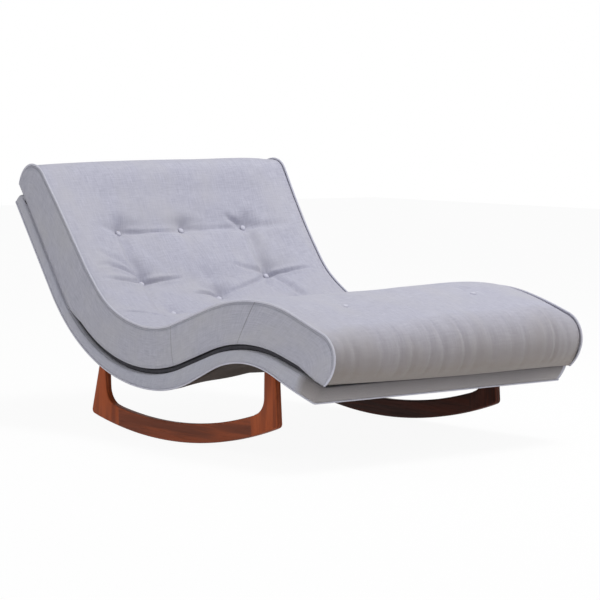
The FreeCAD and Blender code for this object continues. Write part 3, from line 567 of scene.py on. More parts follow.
folds = [
    # depth, width, then run and across of each point
    (0.0078, 0.006, (0.206, -0.261), (0.216, -0.180), (0.218, -0.060), (0.208, 0.0)),
    (0.0043, 0.007, (0.206, 0.0), (0.216, 0.074), (0.212, 0.200), (0.206, 0.261)),
    (0.0047, 0.012, (0.206, 0.261), (0.222, 0.332), (0.226, 0.445)),
    (0.0047, 0.012, (0.206, -0.261), (0.202, -0.320), (0.193, -0.380)),
    (0.0070, 0.009, (0.204, 0.255), (0.181, 0.205), (0.160, 0.170)),
    (0.0124, 0.018, (0.215, -0.265), (0.322, -0.284), (0.418, -0.261)),
    (0.0124, 0.018, (0.215, 0.261), (0.346, 0.245), (0.418, 0.261)),
    (0.0078, 0.020, (0.215, 0.0), (0.390, -0.030), (0.532, 0.0)),
    (0.0085, 0.009, (0.418, -0.261), (0.440, -0.330), (0.440, -0.400), (0.430, -0.465)),
    (0.0070, 0.008, (0.405, -0.270), (0.375, -0.340), (0.355, -0.400), (0.360, -0.465)),
    (0.0047, 0.009, (0.400, -0.270), (0.330, -0.350), (0.300, -0.430)),
    (0.0101, 0.008, (0.418, -0.261), (0.425, -0.190), (0.432, -0.110)),
    (0.0062, 0.013, (0.430, -0.262), (0.530, -0.300), (0.660, -0.330), (0.740, -0.350)),
    (0.0054, 0.011, (0.418, 0.261), (0.390, 0.160), (0.360, 0.080)),
    (0.0085, 0.009, (0.418, 0.261), (0.470, 0.180), (0.510, 0.100), (0.532, 0.0)),
    (0.0124, 0.009, (0.418, 0.261), (0.435, 0.310), (0.445, 0.425)),
    (0.0085, 0.011, (0.420, 0.263), (0.520, 0.275), (0.610, 0.290), (0.650, 0.261)),
    (0.0062, 0.009, (0.430, 0.258), (0.510, 0.205), (0.580, 0.210)),
    (0.0078, 0.008, (0.532, 0.0), (0.526, -0.080), (0.532, -0.130)),
    (0.0062, 0.006, (0.660, -0.470), (0.690, -0.417), (0.743, -0.368), (0.790, -0.364)),
]
rollFolds = dict(count=15, seed=11, depth=(0.0018, 0.0040), width=(0.007, 0.012), across=(-0.46, 0.44),
                 start=(1.56, 1.64), end=1.79, slip=0.02, lean=0.03)
chance = np.random.default_rng(rollFolds["seed"])
for across in np.linspace(*rollFolds["across"], rollFolds["count"]):
    begin = chance.uniform(*rollFolds["start"])
    low = across + chance.uniform(-rollFolds["slip"], rollFolds["slip"])
    high = low + chance.uniform(-1, 1) * rollFolds["lean"]
    folds.append((chance.uniform(*rollFolds["depth"]), chance.uniform(*rollFolds["width"]),
                  (rollFolds["end"], low), (begin, high)))
foldForm = dict(fadeIn=6, fadeOut=2.2, ridgeOff=2.2, ridgeWidth=1.3, ridge=0.4)


def foldSink(run, across):
    # valleys that the cloth is pulled into, with a low ridge on each side
    sink = np.zeros(np.broadcast(run, across).shape)
    for depth, width, *points in folds:
        nearest = np.full(sink.shape, 9.0)
        fade = np.zeros(sink.shape)
        steps = len(points) - 1
        for index, ((r0, a0), (r1, a1)) in enumerate(zip(points, points[1:])):
            length = (r1 - r0) ** 2 + (a1 - a0) ** 2
            share = np.clip(((run - r0) * (r1 - r0) + (across - a0) * (a1 - a0)) / length, 0, 1)
            away = np.hypot(run - r0 - share * (r1 - r0), across - a0 - share * (a1 - a0))
            closer = away < nearest
            nearest = np.where(closer, away, nearest)
            whole = (index + share) / steps
            begun = np.clip(whole * foldForm["fadeIn"], 0, 1)
            fade = np.where(closer, begun * np.clip((1 - whole) * foldForm["fadeOut"], 0, 1), fade)
        valley = np.exp(-(nearest / width) ** 2)
        beside = (nearest - foldForm["ridgeOff"] * width) / (foldForm["ridgeWidth"] * width)
        sink = sink + depth * fade * (valley - foldForm["ridge"] * np.exp(-beside ** 2))
    return sink


def fadeOut(along):
    # 1 on the flat of the top, easing to 0 where the panel turns over both ends
    ends = np.cumsum(outlineLengths())
    return softened(np.minimum(along - ends[1], ends[2] - along) / 0.09 + 0.1)


def panelGrid(step):
    rows = int(round(outlineLength / step)) + 1
    columns = int(round(2 * cushion["half"] / step)) + 1
    along = np.linspace(0, outlineLength, rows)[:, None]
    across = np.linspace(-cushion["half"], cushion["half"], columns)[None, :]
    flatRun = outlineAt(along, 0.0)[0]
    place = panelPlace(along, across)
    sink = tuftSink(flatRun, across) * fadeOut(along)
    return onDeck((place[0], place[1], place[2] - sink)), along, across


def refine(grid):
    # twice as fine along both ways, by cubic interpolation
    for axis in (0, 1):
        grid = np.moveaxis(grid, axis, 0)
        padded = np.concatenate([2 * grid[:1] - grid[1:2], grid, 2 * grid[-1:] - grid[-2:-1]])
        middle = (9 * (padded[1:-2] + padded[2:-1]) - padded[:-3] - padded[3:]) / 16
        out = np.zeros((2 * len(grid) - 1,) + grid.shape[1:])
        out[0::2] = grid
        out[1::2] = middle
        grid = np.moveaxis(out, 0, axis)
    return grid


def faceOut(grid):
    # unit normals of a grid of points
    downRows = np.gradient(grid, axis=0)
    downColumns = np.gradient(grid, axis=1)
    normal = np.cross(downRows, downColumns)
    return normal / np.maximum(np.linalg.norm(normal, axis=-1, keepdims=True), 1e-12)


def blurred(field, reach):
    weights = np.exp(-(np.arange(-2 * reach, 2 * reach + 1) / reach) ** 2)
    weights = weights / weights.sum()
    for axis in (0, 1):
        wide = np.moveaxis(field, axis, 0)
        wide = np.pad(wide, [(2 * reach, 2 * reach), (0, 0), (0, 0)], mode="edge")
        rows = len(wide) - 4 * reach
        summed = sum(weight * wide[k:k + rows] for k, weight in enumerate(weights))
        field = np.moveaxis(summed, 0, axis)
    return field


inflating = dict(frames=16, pinReach=0.026, pinFull=1.5, blur=2, cap=0.007)
clothSettings = dict(
    vertex_group_mass="sewn", quality=6, mass=0.12, tension_stiffness=22, compression_stiffness=14,
    shear_stiffness=8, bending_stiffness=0.5, pin_stiffness=2, tension_damping=12,
    compression_damping=12, use_pressure=True, uniform_pressure_force=1.6, shrink_min=0.012)


def blowUp(grid, along, across):
    # cloth held at its seams and tufts, drawn tight, and pressed from inside
    rows, columns = grid.shape[:2]
    mesh = bpy.data.meshes.new("panelCloth")
    mesh.from_pydata(grid.reshape(-1, 3).tolist(), [], gridFaces(rows, columns, 0, True))
    piece = inScene("panelCloth", mesh)
    flatRun = outlineAt(along, 0.0)[0]
    held = np.zeros((rows, columns))
    for tuftRun, tuftAcross, *_ in tufts:
        away = np.hypot(flatRun - tuftRun, across - tuftAcross)
        held = np.maximum(held, np.clip(inflating["pinFull"] - away / inflating["pinReach"], 0, 1))
    held[[0, -1], :] = 1
    held[:, [0, -1]] = 1
    sewn = piece.vertex_groups.new(name="sewn")
    for level in np.linspace(0.1, 1, 10):
        mine = np.flatnonzero(np.abs(held.ravel() - level) <= 0.05).tolist()
        sewn.add(mine, float(level), "REPLACE")
    cloth = piece.modifiers.new("cloth", "CLOTH")
    for key, value in clothSettings.items():
        setattr(cloth.settings, key, value)
    cloth.settings.effector_weights.gravity = 0
    cloth.collision_settings.use_self_collision = False
    cloth.point_cache.frame_end = inflating["frames"]
    for frameNumber in range(1, inflating["frames"] + 1):
        scene.frame_set(frameNumber)
    move = spotsOf(bakedMesh(piece)).reshape(grid.shape) - grid
    bpy.data.objects.remove(piece)
    scene.frame_set(1)
    move = blurred(move, inflating["blur"])
    far = np.linalg.norm(move, axis=-1, keepdims=True)
    print("cloth moved up to", round(float(far.max()) * 1000, 1), "mm")
    return grid + move * np.minimum(1.0, inflating["cap"] / np.maximum(far, 1e-9))


def makeCushion():
    grid, along, across = panelGrid(cushion["step"])
    grid = blowUp(grid, along, across)
    grid = refine(grid)
    rows, columns = grid.shape[:2]
    half = cushion["half"]
    along = np.linspace(0, outlineLength, rows)
    across = np.linspace(-half, half, columns)
    fade = np.clip((half - np.abs(across)) / cushion["edgeFade"], 0, 1)[None, :] * np.clip(
        np.minimum(along, outlineLength - along) / cushion["edgeFade"], 0, 1)[:, None]
    sink = foldSink((along - flatStart)[:, None], across[None, :]) * fade
    grid = grid - faceOut(grid) * sink[..., None]
    points = [grid.reshape(-1, 3)]
    maps = [np.stack(np.broadcast_arrays(along[:, None], across[None, :]), -1).reshape(-1, 2)]
    faces = gridFaces(rows, columns, 0, True)
    last = (rows - 1) * columns
    walls = []    # each side's first point on the underside
    for side, column in ((-1, 0), (1, columns - 1)):
        head, foot = (panelPlace(end, side * half) for end in (0.0, outlineLength))
        inner = np.linspace(float(head[0]), float(foot[0]), rows)[1:-1]
        points.append(onDeck((inner, np.full(rows - 2, float(head[1])), underRise(inner))))
        maps.append(np.stack([along[1:-1], np.full(rows - 2, side * cushion["mapEdge"])], -1))
        walls.append(rows * columns + len(walls) * (rows - 2))
        lower = [column, *range(walls[-1], walls[-1] + rows - 2), last + column]
        for i in range(rows - 1):
            corners = [i * columns + column, (i + 1) * columns + column, lower[i + 1], lower[i]]
            faces.append(tuple(dict.fromkeys(corners[::-side])))
    low, high = walls
    faces += [(low + i, low + i + 1, high + i + 1, high + i) for i in range(rows - 3)]
    faces.append((*range(columns), high, low))
    faces.append((*range(rows * columns - 1, last - 1, -1), low + rows - 3, high + rows - 3))
    piece = meshPiece("cushion", np.concatenate(points), faces, panelCloth, np.concatenate(maps))
    pointOut(piece)
    finishPiece(piece, "upholstery", "cushion_topper")
    return grid


cushionTop = makeCushion()
print("cushion made")


# Boxing: the cloth wall between the piping and the cushion's underside

boxing = dict(inset=0.00105, swell=0.0035, swellTall=0.08, endGap=0.001, underlap=0.002, thickness=0.002,
              rows=11, step=0.010)


def makeBoxing(side, word):
    count = int(outlineLength / boxing["step"])
    along = np.linspace(boxing["endGap"], outlineLength - boxing["endGap"], count)
    place = panelPlace(along, side * cushion["half"])
    topX, topZ = onLine(deckTop, place[0], place[2])
    lowRun = np.linspace(place[0][0], place[0][-1], count)
    lowX, lowZ = onLine(deckTop, lowRun, underRise(lowRun) - boxing["underlap"])
    share = np.linspace(0, 1, boxing["rows"])[None, :]
    x = topX[:, None] * (1 - share) + lowX[:, None] * share
    z = topZ[:, None] * (1 - share) + lowZ[:, None] * share
    tall = np.hypot(topX - lowX, topZ - lowZ)[:, None]
    full = np.clip(tall / boxing["swellTall"], 0, 1)
    y = np.abs(place[1])[:, None] + boxing["inset"] + (
        boxing["swell"] * np.sin(math.pi * share) ** 0.6 * full)
    points = np.stack([x, y * side, z], -1).reshape(-1, 3)
    maps = np.stack([np.broadcast_to(along[:, None], x.shape), share * tall], -1).reshape(-1, 2)
    piece = meshPiece("boxing_" + word + "_cloth", points,
                      gridFaces(count, boxing["rows"], 0, side > 0), boxingCloth, maps)
    thicken(piece, boxing["thickness"])
    pointOut(piece)
    finishPiece(piece, "boxing_cloth", "boxing_" + word)


for side, word in bothSides:
    makeBoxing(side, word)
print("boxing made")


# Cords: Geometry Nodes sweep a round section along a drawn path

class Tree:
    def __init__(self, name, **inputs):
        self.group = bpy.data.node_groups.new(name, "GeometryNodeTree")
        face = self.group.interface
        face.new_socket("Geometry", in_out="OUTPUT", socket_type="NodeSocketGeometry")
        for label, kind in inputs.items():
            face.new_socket(label, in_out="INPUT", socket_type="NodeSocket" + kind)
        self.given = self.group.nodes.new("NodeGroupInput").outputs

    def add(self, kind, settings=None, sockets=None):
        return addNode(self.group, kind, settings, sockets)

    def end(self, geometry, material):
        real = self.add("GeometryNodeRealizeInstances", None, {"Geometry": geometry})
        done = self.add("GeometryNodeSetMaterial", None, {"Geometry": real, "Material": material})
        self.group.links.new(done, self.group.nodes.new("NodeGroupOutput").inputs[0])
        return self.group


def cordTree():
    tree = Tree("sewn cord", Geometry="Geometry", Radius="Float", Sides="Int", Cloth="Material")
    ring = tree.add("GeometryNodeCurvePrimitiveCircle", None, {
        "Resolution": tree.given["Sides"], "Radius": tree.given["Radius"]})
    tube = tree.add("GeometryNodeCurveToMesh", None, {
        "Curve": tree.given["Geometry"], "Profile Curve": ring, "Fill Caps": True})
    smooth = tree.add("GeometryNodeSetShadeSmooth", None, {"Geometry": tube})
    return tree.end(smooth, tree.given["Cloth"])


def stitchTree():
    tree = Tree("seam stitches", Geometry="Geometry", Pitch="Float", Length="Float", Radius="Float",
                Thread="Material")
    marks = tree.add("GeometryNodeResampleCurve", {"mode": "LENGTH"}, {
        "Curve": tree.given["Geometry"], "Length": tree.given["Pitch"]})
    dots = tree.add("GeometryNodeCurveToPoints", {"mode": "EVALUATED"}, {0: marks})
    stitch = tree.add("GeometryNodeMeshCylinder", None, {
        "Vertices": 6, "Radius": tree.given["Radius"], "Depth": tree.given["Length"]})
    placed = tree.add("GeometryNodeInstanceOnPoints", None, {
        "Points": dots, "Instance": stitch, "Rotation": dots.node.outputs["Rotation"]})
    return tree.end(placed, tree.given["Thread"])


def grown(name, points, group, values, closed=False):
    # runs a node group on a path through the points and keeps the result as a plain mesh
    curve = bpy.data.curves.new(name, "CURVE")
    curve.dimensions = "3D"
    spline = curve.splines.new("POLY")
    spline.points.add(len(points) - 1)
    for spot, point in zip(spline.points, stand(points)):
        spot.co = (*point, 1.0)
    spline.use_cyclic_u = closed
    path = inScene("path", curve)
    modifier = path.modifiers.new("build", "NODES")
    modifier.node_group = group
    for item in group.interface.items_tree:
        if item.in_out == "INPUT" and item.name in values:
            modifier[item.identifier] = values[item.name]
    mesh = bakedMesh(path)
    bpy.data.objects.remove(path)
    return inScene(name, mesh)


cordGroup = cordTree()
stitchGroup = stitchTree()
piping = dict(radius=0.0032, sides=12, step=0.008, out=0.9, beside=0.0015)
stitches = dict(radius=0.0004, length=0.0030, pitch=0.0048, drop=0.0062, beside=0.0042)
hem = dict(radius=0.0019, beside=0.0016, endGap=0.001, lift=0.0005)


def addCord(name, slotName, points, radius, *stoodFor, sides=piping["sides"], closed=False):
    piece = grown(name, points, cordGroup, {
        "Radius": radius, "Sides": sides, "Cloth": pipingCloth}, closed)
    # a map in metres: length along X, and height for the other way
    x, y, z = spotsOf(piece.data).T
    layWeave(piece.data, np.stack([x + y, z - x * 0.3], -1))
    finishPiece(piece, slotName, *stoodFor)


def outlinePath(side, beside, outward):
    along = np.linspace(0.0, outlineLength, int(outlineLength / piping["step"]))
    run, across, rise = panelPlace(along, side * cushion["half"], outward)
    return onDeck((run, across + side * beside, rise))


def lowerPath(side):
    # along the boxing's bottom edge, from the head toe to the foot toe
    head, foot = (float(panelPlace(end, side * cushion["half"])[0]) for end in (0.0, outlineLength))
    run = np.linspace(head - hem["endGap"], foot + hem["endGap"], int(outlineLength / piping["step"]))
    across = panelPlace(outlineLength / 2, side * cushion["half"])[1] + side * hem["beside"]
    return onDeck((run, np.full(len(run), float(across)), underRise(run) + hem["lift"]))


for side, word in bothSides:
    edge = outlinePath(side, piping["beside"], piping["radius"] * piping["out"])
    addCord("piping_" + word + "_cord", "piping_cloth", edge, piping["radius"], "piping_" + word)
    below = outlinePath(side, stitches["beside"], -stitches["drop"])
    sewn = grown("piping_" + word + "_stitches", below, stitchGroup, {
        "Pitch": stitches["pitch"], "Length": stitches["length"], "Radius": stitches["radius"],
        "Thread": stitchThread})
    finishPiece(sewn, "piping_cloth")
for side, word in bothSides:
    addCord("lower_" + word + "_hem", "piping_cloth", lowerPath(side), hem["radius"])
print("piping made")


# Covered buttons, one in each tuft; those towards the foot lie lower

button = dict(radius=0.0098, height=0.0065, lift=0.0050, seatLift=0.0005, seatRun=1.0, round=0.8,
              rings=7, sides=24, around=16, merge=0.00002)


def makeButtons():
    points, faces = [], []
    rows, columns = cushionTop.shape[:2]
    normals = faceOut(cushionTop)
    count, around = button["sides"], button["around"]
    for tuftRun, tuftAcross, *_ in tufts:
        i = int(round((tuftRun + flatStart) / outlineLength * (rows - 1)))
        j = int(round((tuftAcross / cushion["half"] + 1) / 2 * (columns - 1)))
        # halfway between the pit's own slope and the panel's, as the twine pulls it
        nearby = normals[max(0, i - around):i + around + 1, max(0, j - around):j + around + 1]
        up = normals[i, j] + nearby.mean((0, 1))
        up = up / np.linalg.norm(up)
        side = np.cross(up, (0, 1, 0))
        side = side / np.linalg.norm(side)
        other = np.cross(up, side)
        start = len(points)
        base = button["seatLift"] if tuftRun > button["seatRun"] else button["lift"]
        for ring in range(button["rings"]):
            lean = ring / (button["rings"] - 1) * math.pi / 2
            spread = button["radius"] * math.cos(lean) ** button["round"]
            lift = base + button["height"] * math.sin(lean)
            for k in range(count):
                turn = 2 * math.pi * k / count
                points.append(tuple(cushionTop[i, j] + up * lift + spread * (
                    side * math.cos(turn) + other * math.sin(turn))))
        for ring in range(button["rings"] - 1):
            for k in range(count):
                a = start + ring * count + k
                b = start + ring * count + (k + 1) % count
                faces.append((a, b, b + count, a + count))
        faces.append(tuple(range(start, start + count))[::-1])
    piece = meshPiece("covered_buttons", points, faces, buttonCloth)
    pointOut(piece, button["merge"])
    finishPiece(piece, "button_cloth", "tuft_buttons")


makeButtons()
print("buttons made")


# Charcoal decking between the deck and the cushion

def makeDecking():
    count, shares = decking["rows"], (0.0, 0.25, 0.75, 1.0)
    run = np.linspace(decking["headRun"], decking["footRun"], count)
    high = np.maximum(underRise(run) - cushion["underRise"] - decking["gap"], 2 * decking["gap"])
    ring = []
    for across, share in [(-1, share) for share in shares] + [(1, share) for share in shares[::-1]]:
        inset = decking["round"] if share in (0.0, 1.0) else 0.0
        x, z = onLine(deckTop, run, decking["lift"] + high * share)
        ring.append(np.stack([x, np.full(count, across * (decking["half"] - inset)), z], -1))
    points = np.stack(ring, 1)
    corners = len(ring)
    faces = []
    for i in range(count - 1):
        for k in range(corners):
            a, b = i * corners + k, i * corners + (k + 1) % corners
            faces.append((a, b, b + corners, a + corners))
    faces.append(tuple(range(corners)))
    faces.append(tuple(range((count - 1) * corners, count * corners))[::-1])
    piece = meshPiece("decking_felt", points.reshape(-1, 3), faces, felt)
    pointOut(piece)
    piece.data.set_sharp_from_angle(angle=math.radians(40))
    finishPiece(piece, "charcoal_cloth", "decking_pad")


makeDecking()


# Deck band: cloth over thin padding, wrapped round the deck's rim in one run

band = dict(half=0.510, corner=0.007, cornerParts=5, headReach=0.006, footReach=0.001, step=0.012,
            leftReach=0.010, leftReachRun=1.3, lip=0.040, puff=0.0012, wall=0.0015)
welt = dict(radius=0.0026, sides=10, inset=0.0016, lift=-0.0012)


def deckPoint(run, across, share, lift):
    # share 0 on the deck's top line, 1 on its bottom line; lift moves up along that depth
    topX, topZ = onLine(deckTop, run, 0.0)
    lowX, lowZ = onLine(deckUnder, run / deckEnd * deckUnder["length"], 0.0)
    deep = np.hypot(topX - lowX, topZ - lowZ)
    stay = share - lift / deep
    return np.stack([topX + (lowX - topX) * stay, np.broadcast_to(across, topX.shape),
                     topZ + (lowZ - topZ) * stay], -1)


def rimPlan():
    # the rim seen from above: run, across and the way out at each point
    spots = []
    low = band["corner"] - band["headReach"]
    high = deckEnd - band["corner"] + band["footReach"]
    wide = band["half"] - band["corner"]
    turns = np.linspace(0, 90, band["cornerParts"])
    corners = ((high, wide, 0), (low, wide, 90), (low, -wide, 180), (high, -wide, 270))
    for index, (run, across, begin) in enumerate(corners):
        for turn in turns:
            angle = math.radians(begin + turn)
            spots.append((run + band["corner"] * math.cos(angle),
                          across + band["corner"] * math.sin(angle),
                          math.cos(angle), math.sin(angle)))
        nextRun, nextAcross, _ = corners[(index + 1) % 4]
        out = math.radians(begin + 90)
        last = spots[-1]
        ahead = (nextRun + band["corner"] * math.cos(out), nextAcross + band["corner"] * math.sin(out))
        count = max(2, int(math.hypot(ahead[0] - last[0], ahead[1] - last[1]) / band["step"]))
        for part in range(1, count):
            share = part / count
            spots.append((last[0] + (ahead[0] - last[0]) * share,
                          last[1] + (ahead[1] - last[1]) * share, math.cos(out), math.sin(out)))
    return np.array(spots)


rim = rimPlan()


def rimPoints(inset, share, lift):
    run = rim[:, 0] - rim[:, 2] * inset
    across = rim[:, 1] - rim[:, 3] * inset
    left = (across / band["half"] + 1) / 2
    ahead = (run - band["leftReachRun"]) / (deckEnd - band["leftReachRun"])
    run = run + band["leftReach"] * left * np.clip(ahead, 0, 1)
    return deckPoint(run, across, share, lift)


def makeBand():
    section = [
        # inset, share, lift
        (band["lip"], 0.0, 0.0004), (0.012, 0.0, 0.0006), (0.006, 0.0, 0.0), (0.0022, 0.0, -0.0016),
        (0.0004, 0.0, -0.0050), (-band["puff"] * 0.7, 0.25, 0.0), (-band["puff"], 0.5, 0.0),
        (-band["puff"] * 0.6, 0.78, 0.0), (0.0004, 1.0, 0.0052), (0.0020, 1.0, 0.0018),
        (0.0060, 1.0, 0.0002), (0.0140, 1.0, -0.0002)]
    points = np.stack([rimPoints(*row) for row in section], 1)
    count, columns = points.shape[:2]
    gaps = np.linalg.norm(np.diff(points, axis=1), axis=2)
    down = np.concatenate([np.zeros((count, 1)), np.cumsum(gaps, axis=1)], 1)
    around = np.concatenate([[0], np.cumsum(np.linalg.norm(np.diff(points[:, 6], axis=0), axis=1))])
    maps = np.stack([np.broadcast_to(around[:, None], down.shape), down], -1)
    faces = gridFaces(count, columns)
    for j in range(columns - 1):
        a = (count - 1) * columns + j
        faces.append((a, j, j + 1, a + 1))
    piece = meshPiece("deck_band", points.reshape(-1, 3), faces, deckCloth, maps.reshape(-1, 2))
    pointOut(piece)
    thicken(piece, band["wall"])
    finishPiece(piece, "deck_cloth", "deck_band_left", "deck_band_right", "deck_band_head",
                "deck_band_foot")


makeBand()
addCord("deck_welt", "deck_cloth", rimPoints(welt["inset"], 1.0, welt["lift"]), welt["radius"],
        "deck_welt_left", "deck_welt_right", sides=welt["sides"], closed=True)
print("deck band made")


# Dust cover: thin cloth stapled under the deck, sagging between the boards

dust = dict(inset=0.010, under=0.0016, sag=0.004, sags=5, thickness=0.0008, rows=150, columns=60,
            lift=0.033, liftFrom=(0.80, 0.90), liftTo=(1.27, 1.16), edge=0.30, side=0.478,
            ripple=0.0012, ripples=(55, 9), wave=0.003, waves=(31, 1.3, 7))


def makeDustCover():
    wide = band["half"] - dust["inset"]
    run = np.linspace(dust["inset"], deckEnd - dust["inset"], dust["rows"])[:, None]
    across = np.linspace(-wide, wide, dust["columns"])[None, :]
    share = (run - run[0]) / (run[-1] - run[0])
    hanging = np.sin(math.pi * (across / band["half"] + 1) / 2) ** 0.8
    free = np.sin(math.pi * share * dust["sags"]) ** 2 * hanging
    # drawn up between the seat rail and the knee rail, more towards the middle
    up, down = (softened((run - low) / (high - low)) for low, high in (dust["liftFrom"], dust["liftTo"]))
    inner = np.clip((dust["side"] - np.abs(across)) / dust["edge"], 0, 1)
    hollow = up * down * inner ** 0.7
    free = free * (1 - hollow)
    acrossTurns, runTurns = dust["ripples"]
    ripple = dust["ripple"] * np.sin(across * acrossTurns + run * runTurns) * free
    acrossTurns, shift, runTurns = dust["waves"]
    ripple = ripple + dust["wave"] * hollow * np.sin(across * acrossTurns + shift) * np.sin(run * runTurns)
    lift = ripple - dust["under"] - dust["sag"] * free + dust["lift"] * hollow
    run, across, lift = np.broadcast_arrays(run, across, lift)
    points = deckPoint(run.ravel(), across.ravel(), 1.0, lift.ravel())
    piece = meshPiece("dust_sheet", points, gridFaces(dust["rows"], dust["columns"]), dustCloth)
    pointOut(piece)
    thicken(piece, dust["thickness"])
    finishPiece(piece, "dust_cloth", "dust_cover")


makeDustCover()
print("dust cover made")


# Rockers: sawn outline with rounded corners and edges, in three glued lengths

rocker = dict(
    face=0.473, thick=0.026, roundover=0.0055, depth=0.058,
    rearHeel=-0.4826, frontHeel=0.3924, heelRadius=0.014,
    rearTop=(-0.4266, -0.4046), frontTop=(0.3444, 0.3884), frontTaper=0.008,
    rearCrook=0.058, frontCrook=0.054, rearGlue=-0.3426, frontGlue=0.2804,
    soleParts=60, innerParts=50, arcGap=0.004, cornerParts=8,
)


def solePoint(x, rise):
    return (x, rest["z"] - math.sqrt((rest["z"] - rise) ** 2 - (x - rest["x"]) ** 2))


def underAt(x):
    runs = np.linspace(0, deckUnder["length"], 4000)
    xs, zs = onLine(deckUnder, runs, 0.0)
    return (x, float(np.interp(x, xs, zs)))


def eased(points, index, radius):
    # replaces a corner of an outline by an arc
    before, corner, after = (np.array(points[(index + k) % len(points)]) for k in (-1, 0, 1))
    inward = (before - corner) / np.linalg.norm(before - corner)
    onward = (after - corner) / np.linalg.norm(after - corner)
    half = math.acos(float(np.clip(inward @ onward, -1, 1))) / 2
    reach = radius / math.tan(half)
    centre = corner + (inward + onward) / np.linalg.norm(inward + onward) * radius / math.sin(half)
    first, last = corner + inward * reach, corner + onward * reach
    out = []
    for share in np.linspace(0, 1, rocker["cornerParts"] + 1):
        chord = first + (last - first) * share - centre
        out.append(tuple(centre + chord / np.linalg.norm(chord) * radius))
    return out


def rockerOutline():
    rearOuter, rearInner = rocker["rearTop"]
    frontInner, frontOuter = rocker["frontTop"]
    knee = frontInner - rocker["frontTaper"]
    heels = np.linspace(rocker["rearHeel"], rocker["frontHeel"], rocker["soleParts"])
    sole = [solePoint(x, 0) for x in heels]
    inner = [solePoint(x, rocker["depth"]) for x in np.linspace(knee, rearInner, rocker["innerParts"])]
    gap = rocker["arcGap"]    # leaves out points of the long arcs that crowd a corner
    rearFoot = eased([underAt(rearOuter), sole[0], sole[8]], 1, rocker["heelRadius"])
    frontFoot = eased([sole[-9], sole[-1], underAt(frontOuter)], 1, rocker["heelRadius"])
    frontBend = eased([underAt(frontInner), inner[0], inner[9]], 1, rocker["frontCrook"])
    rearBend = eased([inner[-8], inner[-1], underAt(rearInner)], 1, rocker["rearCrook"])
    loop = [underAt(rearOuter)] + rearFoot
    loop += [p for p in sole if rearFoot[-1][0] + gap < p[0] < frontFoot[0][0] - gap]
    loop += frontFoot + [underAt(frontOuter), underAt(frontInner)] + frontBend
    loop += [p for p in inner if rearBend[0][0] + gap < p[0] < frontBend[-1][0] - gap]
    loop += rearBend + [underAt(rearInner)]
    return loop


def makeRocker(side, word):
    loop = rockerOutline()
    faces = (side * rocker["face"], side * (rocker["face"] - rocker["thick"]))
    whole = bmesh.new()
    rings = [[whole.verts.new((x, y, z)) for x, z in loop] for y in faces]
    whole.faces.new(rings[0])
    whole.faces.new(rings[1][::-1])
    for k in range(len(loop)):
        n = (k + 1) % len(loop)
        whole.faces.new((rings[0][k], rings[1][k], rings[1][n], rings[0][n]))
    bmesh.ops.recalc_face_normals(whole, faces=whole.faces)
    rimEdges = [edge for edge in whole.edges if abs(edge.verts[0].co.y - edge.verts[1].co.y) < 1e-6]
    bmesh.ops.bevel(whole, geom=rimEdges, offset=rocker["roundover"], segments=4, profile=0.5,
                    affect="EDGES", clamp_overlap=True)
    # the left rocker gets the darker copies of the woods, as painted shade
    upright, lengthwise = (paintedShadeLeg, paintedShadeRail) if side > 0 else (legWood, railWood)
    cuts = (("rear_leg", None, rocker["rearGlue"], upright),
            ("sole_rail", rocker["rearGlue"], rocker["frontGlue"], lengthwise),
            ("front_leg", rocker["frontGlue"], None, upright))
    for name, low, high, wood in cuts:
        part = whole.copy()
        for place, way in ((low, -1), (high, 1)):
            if place is None:
                continue
            everything = part.verts[:] + part.edges[:] + part.faces[:]
            cut = bmesh.ops.bisect_plane(part, geom=everything, plane_co=(place, 0, 0),
                                         plane_no=(way, 0, 0), clear_outer=True)
            border = [item for item in cut["geom_cut"] if isinstance(item, bmesh.types.BMEdge)]
            bmesh.ops.contextual_create(part, geom=border)
        mesh = bpy.data.meshes.new(name)
        bmesh.ops.recalc_face_normals(part, faces=part.faces)
        for vertex in part.verts:
            vertex.co = stand(vertex.co)
        part.to_mesh(mesh)
        part.free()
        mesh.materials.append(wood)
        mesh.shade_smooth()
        mesh.set_sharp_from_angle(angle=math.radians(32))
        finishPiece(inScene(name + "_" + word + "_wood", mesh), "rocker_wood", name + "_" + word)
    whole.free()


for side, word in bothSides:
    makeRocker(side, word)
print("rockers made")


# Floor, light and camera

studio = dict(floorHalf=14.0, shadow=0.07, backWhite=1.0, sky=0.48, lampAim=(0, 0, 0.4))
lamps = (
    # name, place, size, power
    ("key", (1.4, 1.3, 4.8), 1.5, 152),
    ("fill", (1.8, -5.4, 2.0), 3.0, 50))
view = dict(azimuth=47.576, elevation=4.753, roll=0.747, distance=7.0, lens=135.44, clipEnd=60,
            target=(0.0907, -0.0391, 0.4147))


def seenPlainly(tree):
    # 1 for what the camera sees, itself or in a shiny face, and 0 for other rays
    rays = addNode(tree, "ShaderNodeLightPath").node.outputs
    return addNode(tree, "ShaderNodeMath", {"operation": "MAXIMUM"}, {
        0: rays["Is Camera Ray"], 1: rays["Is Glossy Ray"]})


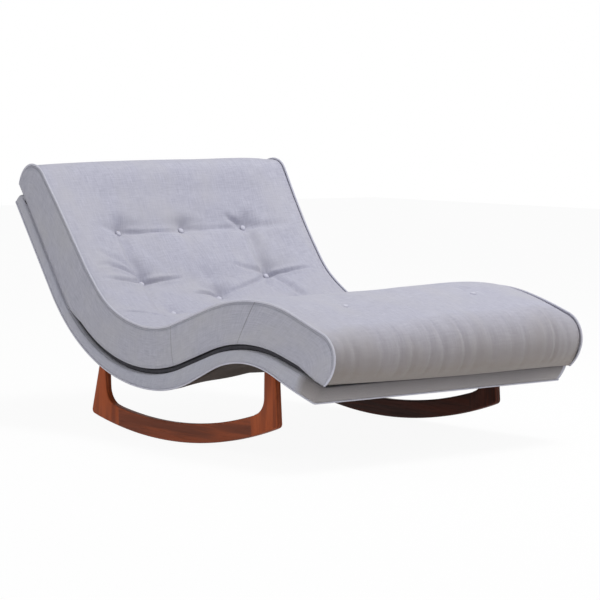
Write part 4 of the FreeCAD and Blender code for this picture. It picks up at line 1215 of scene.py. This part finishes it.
def makeFloor():
    half = studio["floorHalf"]
    mesh = bpy.data.meshes.new("studio_floor")
    mesh.from_pydata([(-half, -half, 0), (half, -half, 0), (half, half, 0), (-half, half, 0)], [],
                     [(0, 1, 2, 3)])
    floor = inScene("studio_floor", mesh)
    paint = Paint("studio floor", Base_Color=(0.9, 0.9, 0.9, 1), Roughness=0.7)
    glow = addNode(paint.tree, "ShaderNodeEmission", None, {0: (1, 1, 1, 1)})
    share = addNode(paint.tree, "ShaderNodeMath", {"operation": "MULTIPLY"}, {
        0: seenPlainly(paint.tree), 1: 1 - studio["shadow"]})
    blend = addNode(paint.tree, "ShaderNodeMixShader", None, {
        0: share, 1: paint.surface.outputs[0], 2: glow})
    paint.tree.links.new(blend, paint.tree.nodes["Material Output"].inputs[0])
    mesh.materials.append(paint.material)


def makeWorld():
    world = bpy.data.worlds.new("studio")
    scene.world = world
    world.use_nodes = True
    sky = world.node_tree.nodes["Background"]
    sky.inputs["Color"].default_value = (1, 1, 1, 1)
    level = addNode(world.node_tree, "ShaderNodeMapRange", None, {
        "Value": seenPlainly(world.node_tree), "To Min": studio["sky"], "To Max": studio["backWhite"]})
    world.node_tree.links.new(level, sky.inputs["Strength"])


def makeLamp(name, place, size, power):
    light = bpy.data.lights.new(name, "AREA")
    light.size = size
    light.energy = power
    lamp = inScene(name, light)
    lamp.location = place
    aim = Vector(studio["lampAim"]) - Vector(place)
    lamp.rotation_euler = aim.to_track_quat("-Z", "Y").to_euler()


def makeCamera():
    azimuth, elevation, roll = (math.radians(view[k]) for k in ("azimuth", "elevation", "roll"))
    back = Vector((math.sin(azimuth) * math.cos(elevation), -math.cos(azimuth) * math.cos(elevation),
                   math.sin(elevation)))
    right = Vector((math.cos(azimuth), math.sin(azimuth), 0))
    up = back.cross(right)
    turnedRight = right * math.cos(roll) + up * math.sin(roll)
    turnedUp = up * math.cos(roll) - right * math.sin(roll)
    lens = bpy.data.cameras.new("camera")
    lens.lens = view["lens"]
    lens.clip_end = view["clipEnd"]
    camera = inScene("camera", lens)
    place = Vector(view["target"]) + back * view["distance"]
    turn = Matrix((turnedRight, turnedUp, back)).transposed().to_4x4()
    camera.matrix_world = Matrix.Translation(place) @ turn
    scene.camera = camera


makeFloor()
makeWorld()
for lamp in lamps:
    makeLamp(*lamp)
makeCamera()
print("studio made")
